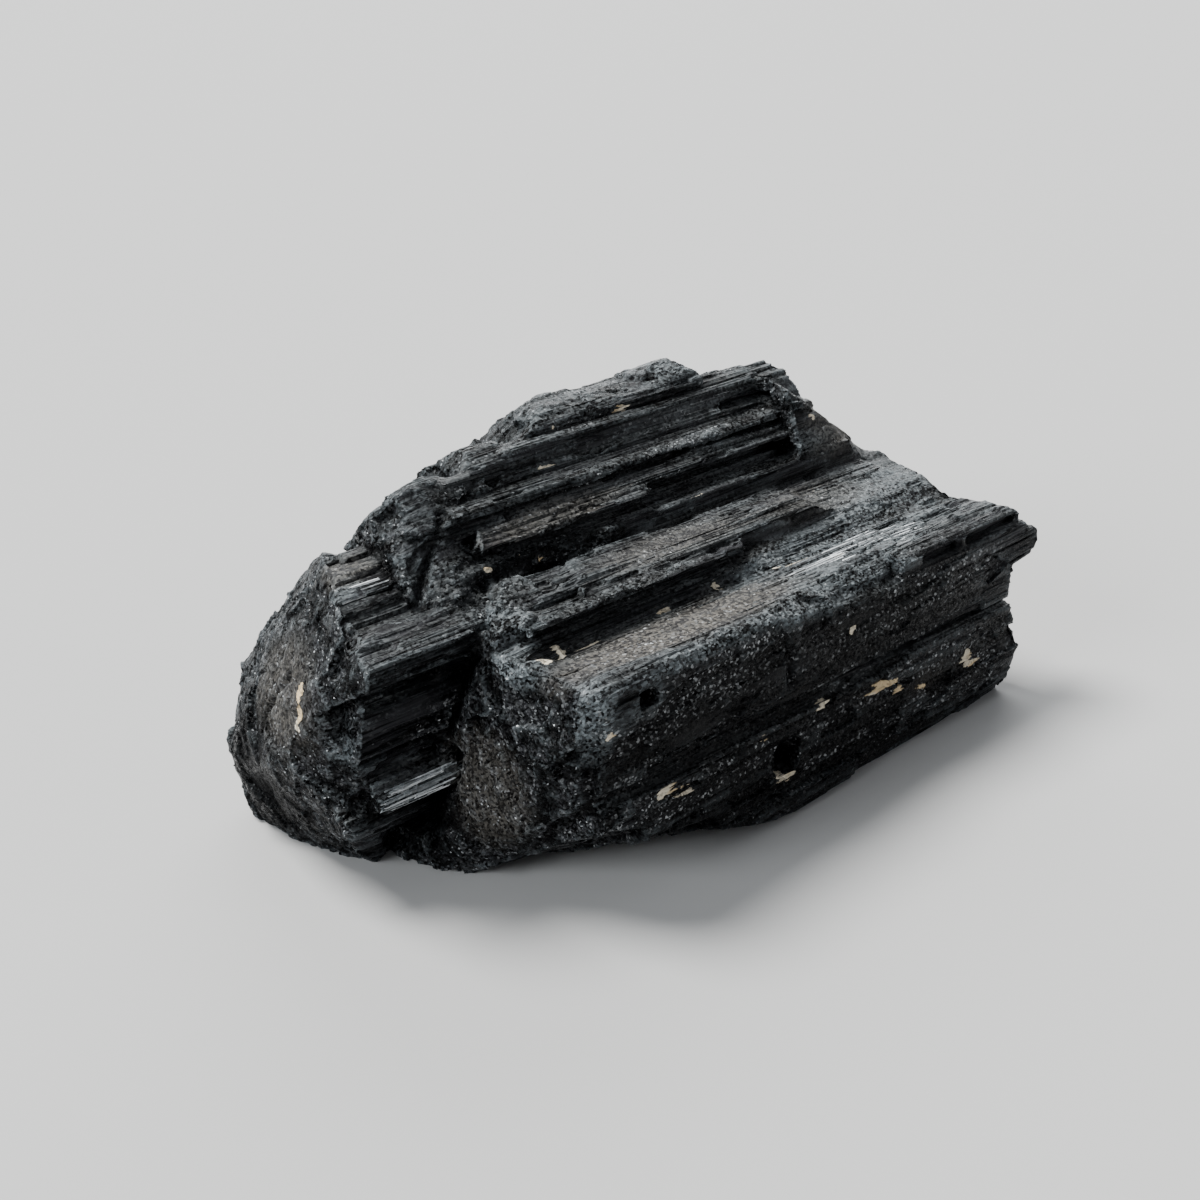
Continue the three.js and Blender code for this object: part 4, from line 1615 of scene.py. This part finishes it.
    def _lines(self, g: Graph, on: Readings, slots: Socket) -> Socket:
        """The height of the fine strips on the faces.

        Args:
            g: The material's nodes.
            on: The surface properties and patterns.
            slots: The dark lines between the strips.

        Returns:
            The height.
        """
        broad = g.plus(g.times(on.rods.height, 0.6), g.times(on.threads.height, 0.3))
        height = g.plus(broad, g.times(slots, 0.22), g.times(on.fibres, 0.35))
        return g.times(height, on.rough, g.minus(1.0, g.times(on.grain, 0.85)))

    def _rubble(self, g: Graph, on: Readings, worn: Socket) -> Socket:
        """The height of the fine grains.

        Args:
            g: The material's nodes.
            on: The surface properties and patterns.
            worn: How much wear or dust there is.

        Returns:
            The height.
        """
        height = g.plus(g.times(on.crumbs.height, 0.4), g.times(on.grit.height, 0.8), g.times(on.mottle, 0.6))
        return g.times(height, g.higher(on.grain, g.times(worn, 0.4)))

    def material(self) -> bpy.types.Material:
        """Builds the material.

        Returns:
            The material.
        """
        g = Graph("schorl")
        on = self._readings(g)
        slots = self._slots(g, on)
        drift = self._drift(g, on)
        # pale wear and patches, with the painted sheen on what faces up, kept out of the painted shade in the
        # hollows
        pale = g.times(on.frost, on.unshaded, g.ramp(drift, 0.34, 0.7))
        dusty = g.times(on.dust, on.unshaded, g.ramp(drift, 0.3, 0.62, 0.3, 1.0))
        crust = g.ramp(g.plus(on.fleck, g.times(g.minus(on.mottle, 0.5), 0.9)), 0.46, 0.54)

        body = g.blend(self._tone(g, on, slots), self.black, self.charcoal)
        body = g.blend(pale, body, self.frost)
        body = g.blend(dusty, body, g.blend(g.ramp(on.grit.tone, 0.1, 0.9), self.shade, self.dust))
        # painted glints
        body = g.blend(self._glints(g, on, dusty), body, self.painted_glint)
        stain = g.ramp(g.noise(g.scaled(self.stain), 1.0, 0.55), 0.52, 0.6)
        mineral = g.blend(stain, self.cream, self.tan)
        body = g.blend(g.times(crust, g.ramp(on.grit.tone, 0.0, 0.6, 0.6, 1.0)), body, mineral)
        g.feed(g.shader.inputs["Base Color"], body)

        faces = g.ramp(on.rods.luck, 0.0, 1.0, 0.2, 0.42)
        breaks = g.ramp(on.grit.luck, 0.0, 1.0, 0.12, 0.42)
        worn = g.higher(pale, dusty)
        rough = g.between(worn, g.between(on.grain, faces, breaks), 0.55)
        g.feed(g.shader.inputs["Roughness"], g.between(crust, rough, 0.85))
        g.shader.inputs["Specular IOR Level"].default_value = self.gloss

        normal = g.bump(self._lines(g, on, slots), self.line_height)
        normal = g.bump(self._rubble(g, on, worn), self.rubble_height, normal)
        g.feed(g.shader.inputs["Normal"], normal)
        return g.material


@dataclass(frozen=True)
class PaleFloor:
    """A plain pale floor that reaches past the picture."""

    reach: float = 8.0  # metres from the middle to a side
    tint: Colour = colour(0.40, 0.40, 0.397)
    roughness: float = 0.9

    def build(self) -> None:
        """Makes the floor."""
        shape = bmesh.new()
        bmesh.ops.create_grid(shape, x_segments=1, y_segments=1, size=self.reach)
        mesh = bpy.data.meshes.new("floor")
        shape.to_mesh(mesh)
        shape.free()
        ground = linked("floor", mesh)
        g = Graph("pale_floor")
        g.shader.inputs["Base Color"].default_value = self.tint
        g.shader.inputs["Roughness"].default_value = self.roughness
        mesh.materials.append(g.material)


@dataclass(frozen=True)
class Lamp:
    """A far soft lamp, the same all over the floor."""

    name: str
    side: Triple  # the direction that it shines from
    spread: float  # how wide it is, in degrees; wider is softer
    power: float
    tint: Colour

    def build(self) -> None:
        """Makes the lamp."""
        light = bpy.data.lights.new(self.name, "SUN")
        light.angle = math.radians(self.spread)
        light.energy = self.power
        light.color = self.tint[:3]
        linked(self.name, light).rotation_euler = (-Vector(self.side)).to_track_quat("-Z", "Y").to_euler()


@dataclass(frozen=True)
class Studio:
    """The floor, the lights and the camera."""

    eye: Triple = (-269.0, -263.9, 206.6)
    look_at: Triple = (-11.6, -6.6, 40.6)
    roll_degrees: float = -0.67
    lens: float = 54.0
    film: float = 36.0  # the width that the lens is given for
    sight: tuple[float, float] = (0.01, 30.0)  # the nearest and the farthest that it sees, in metres
    sky: Colour = colour(0.93, 0.95, 1.0)
    sky_power: float = 0.33
    lamps: tuple[Lamp, ...] = (
        Lamp("key", (-0.25, 0.45, 0.9), 26.0, 7.8, colour(1.0, 0.995, 0.98)),  # above and behind
        Lamp("wall", (0.64, 0.64, 0.44), 52.0, 3.2, colour(0.97, 0.99, 1.0)),  # low behind, for the sheen
        Lamp("side", (-0.9, 0.1, 0.45), 24.0, 2.8, colour(0.93, 0.97, 1.0)),  # on the near end
        Lamp("front", (0.62, -0.75, 0.3), 5.0, 0.25, colour(0.95, 0.98, 1.0)),  # small, for the glints
    )

    def build(self) -> None:
        """Makes the floor, the lamps, the sky and the camera."""
        PaleFloor().build()
        for lamp in self.lamps:
            lamp.build()
        world = bpy.data.worlds.new("studio")
        world.use_nodes = True
        world.node_tree.nodes["Background"].inputs["Color"].default_value = self.sky
        world.node_tree.nodes["Background"].inputs["Strength"].default_value = self.sky_power
        bpy.context.scene.world = world
        self._camera()

    def _camera(self) -> None:
        """Sets the camera up, looking down at the front face and the near end."""
        data = bpy.data.cameras.new("camera")
        data.lens = self.lens
        data.sensor_width = self.film
        data.clip_start, data.clip_end = self.sight
        camera = linked("camera", data)
        eye = Vector(self.eye) / METRE
        aim = Vector(self.look_at) / METRE - eye
        roll = Matrix.Rotation(math.radians(self.roll_degrees), 4, "Z")
        turn = aim.to_track_quat("-Z", "Y").to_matrix().to_4x4()
        camera.matrix_world = Matrix.Translation(eye) @ turn @ roll
        bpy.context.scene.camera = camera


def main() -> None:
    """Builds the stone, its loose pieces and the studio."""
    logging.basicConfig(level=logging.INFO, format="%(name)s: %(message)s")
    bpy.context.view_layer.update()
    schorl = SchorlFinish().material()
    stone = TourmalineBlock().build(schorl)
    skin = Skin.read(stone)
    pieces = [stone, Grains().build(skin, schorl)]
    pieces += [striae.build(skin, schorl) for striae in ALL_STRIAE]
    for piece in pieces:
        LOG.info("%s: %d faces", piece.name, len(piece.data.polygons))
    Studio().build()


if __name__ == "__main__":
    main()
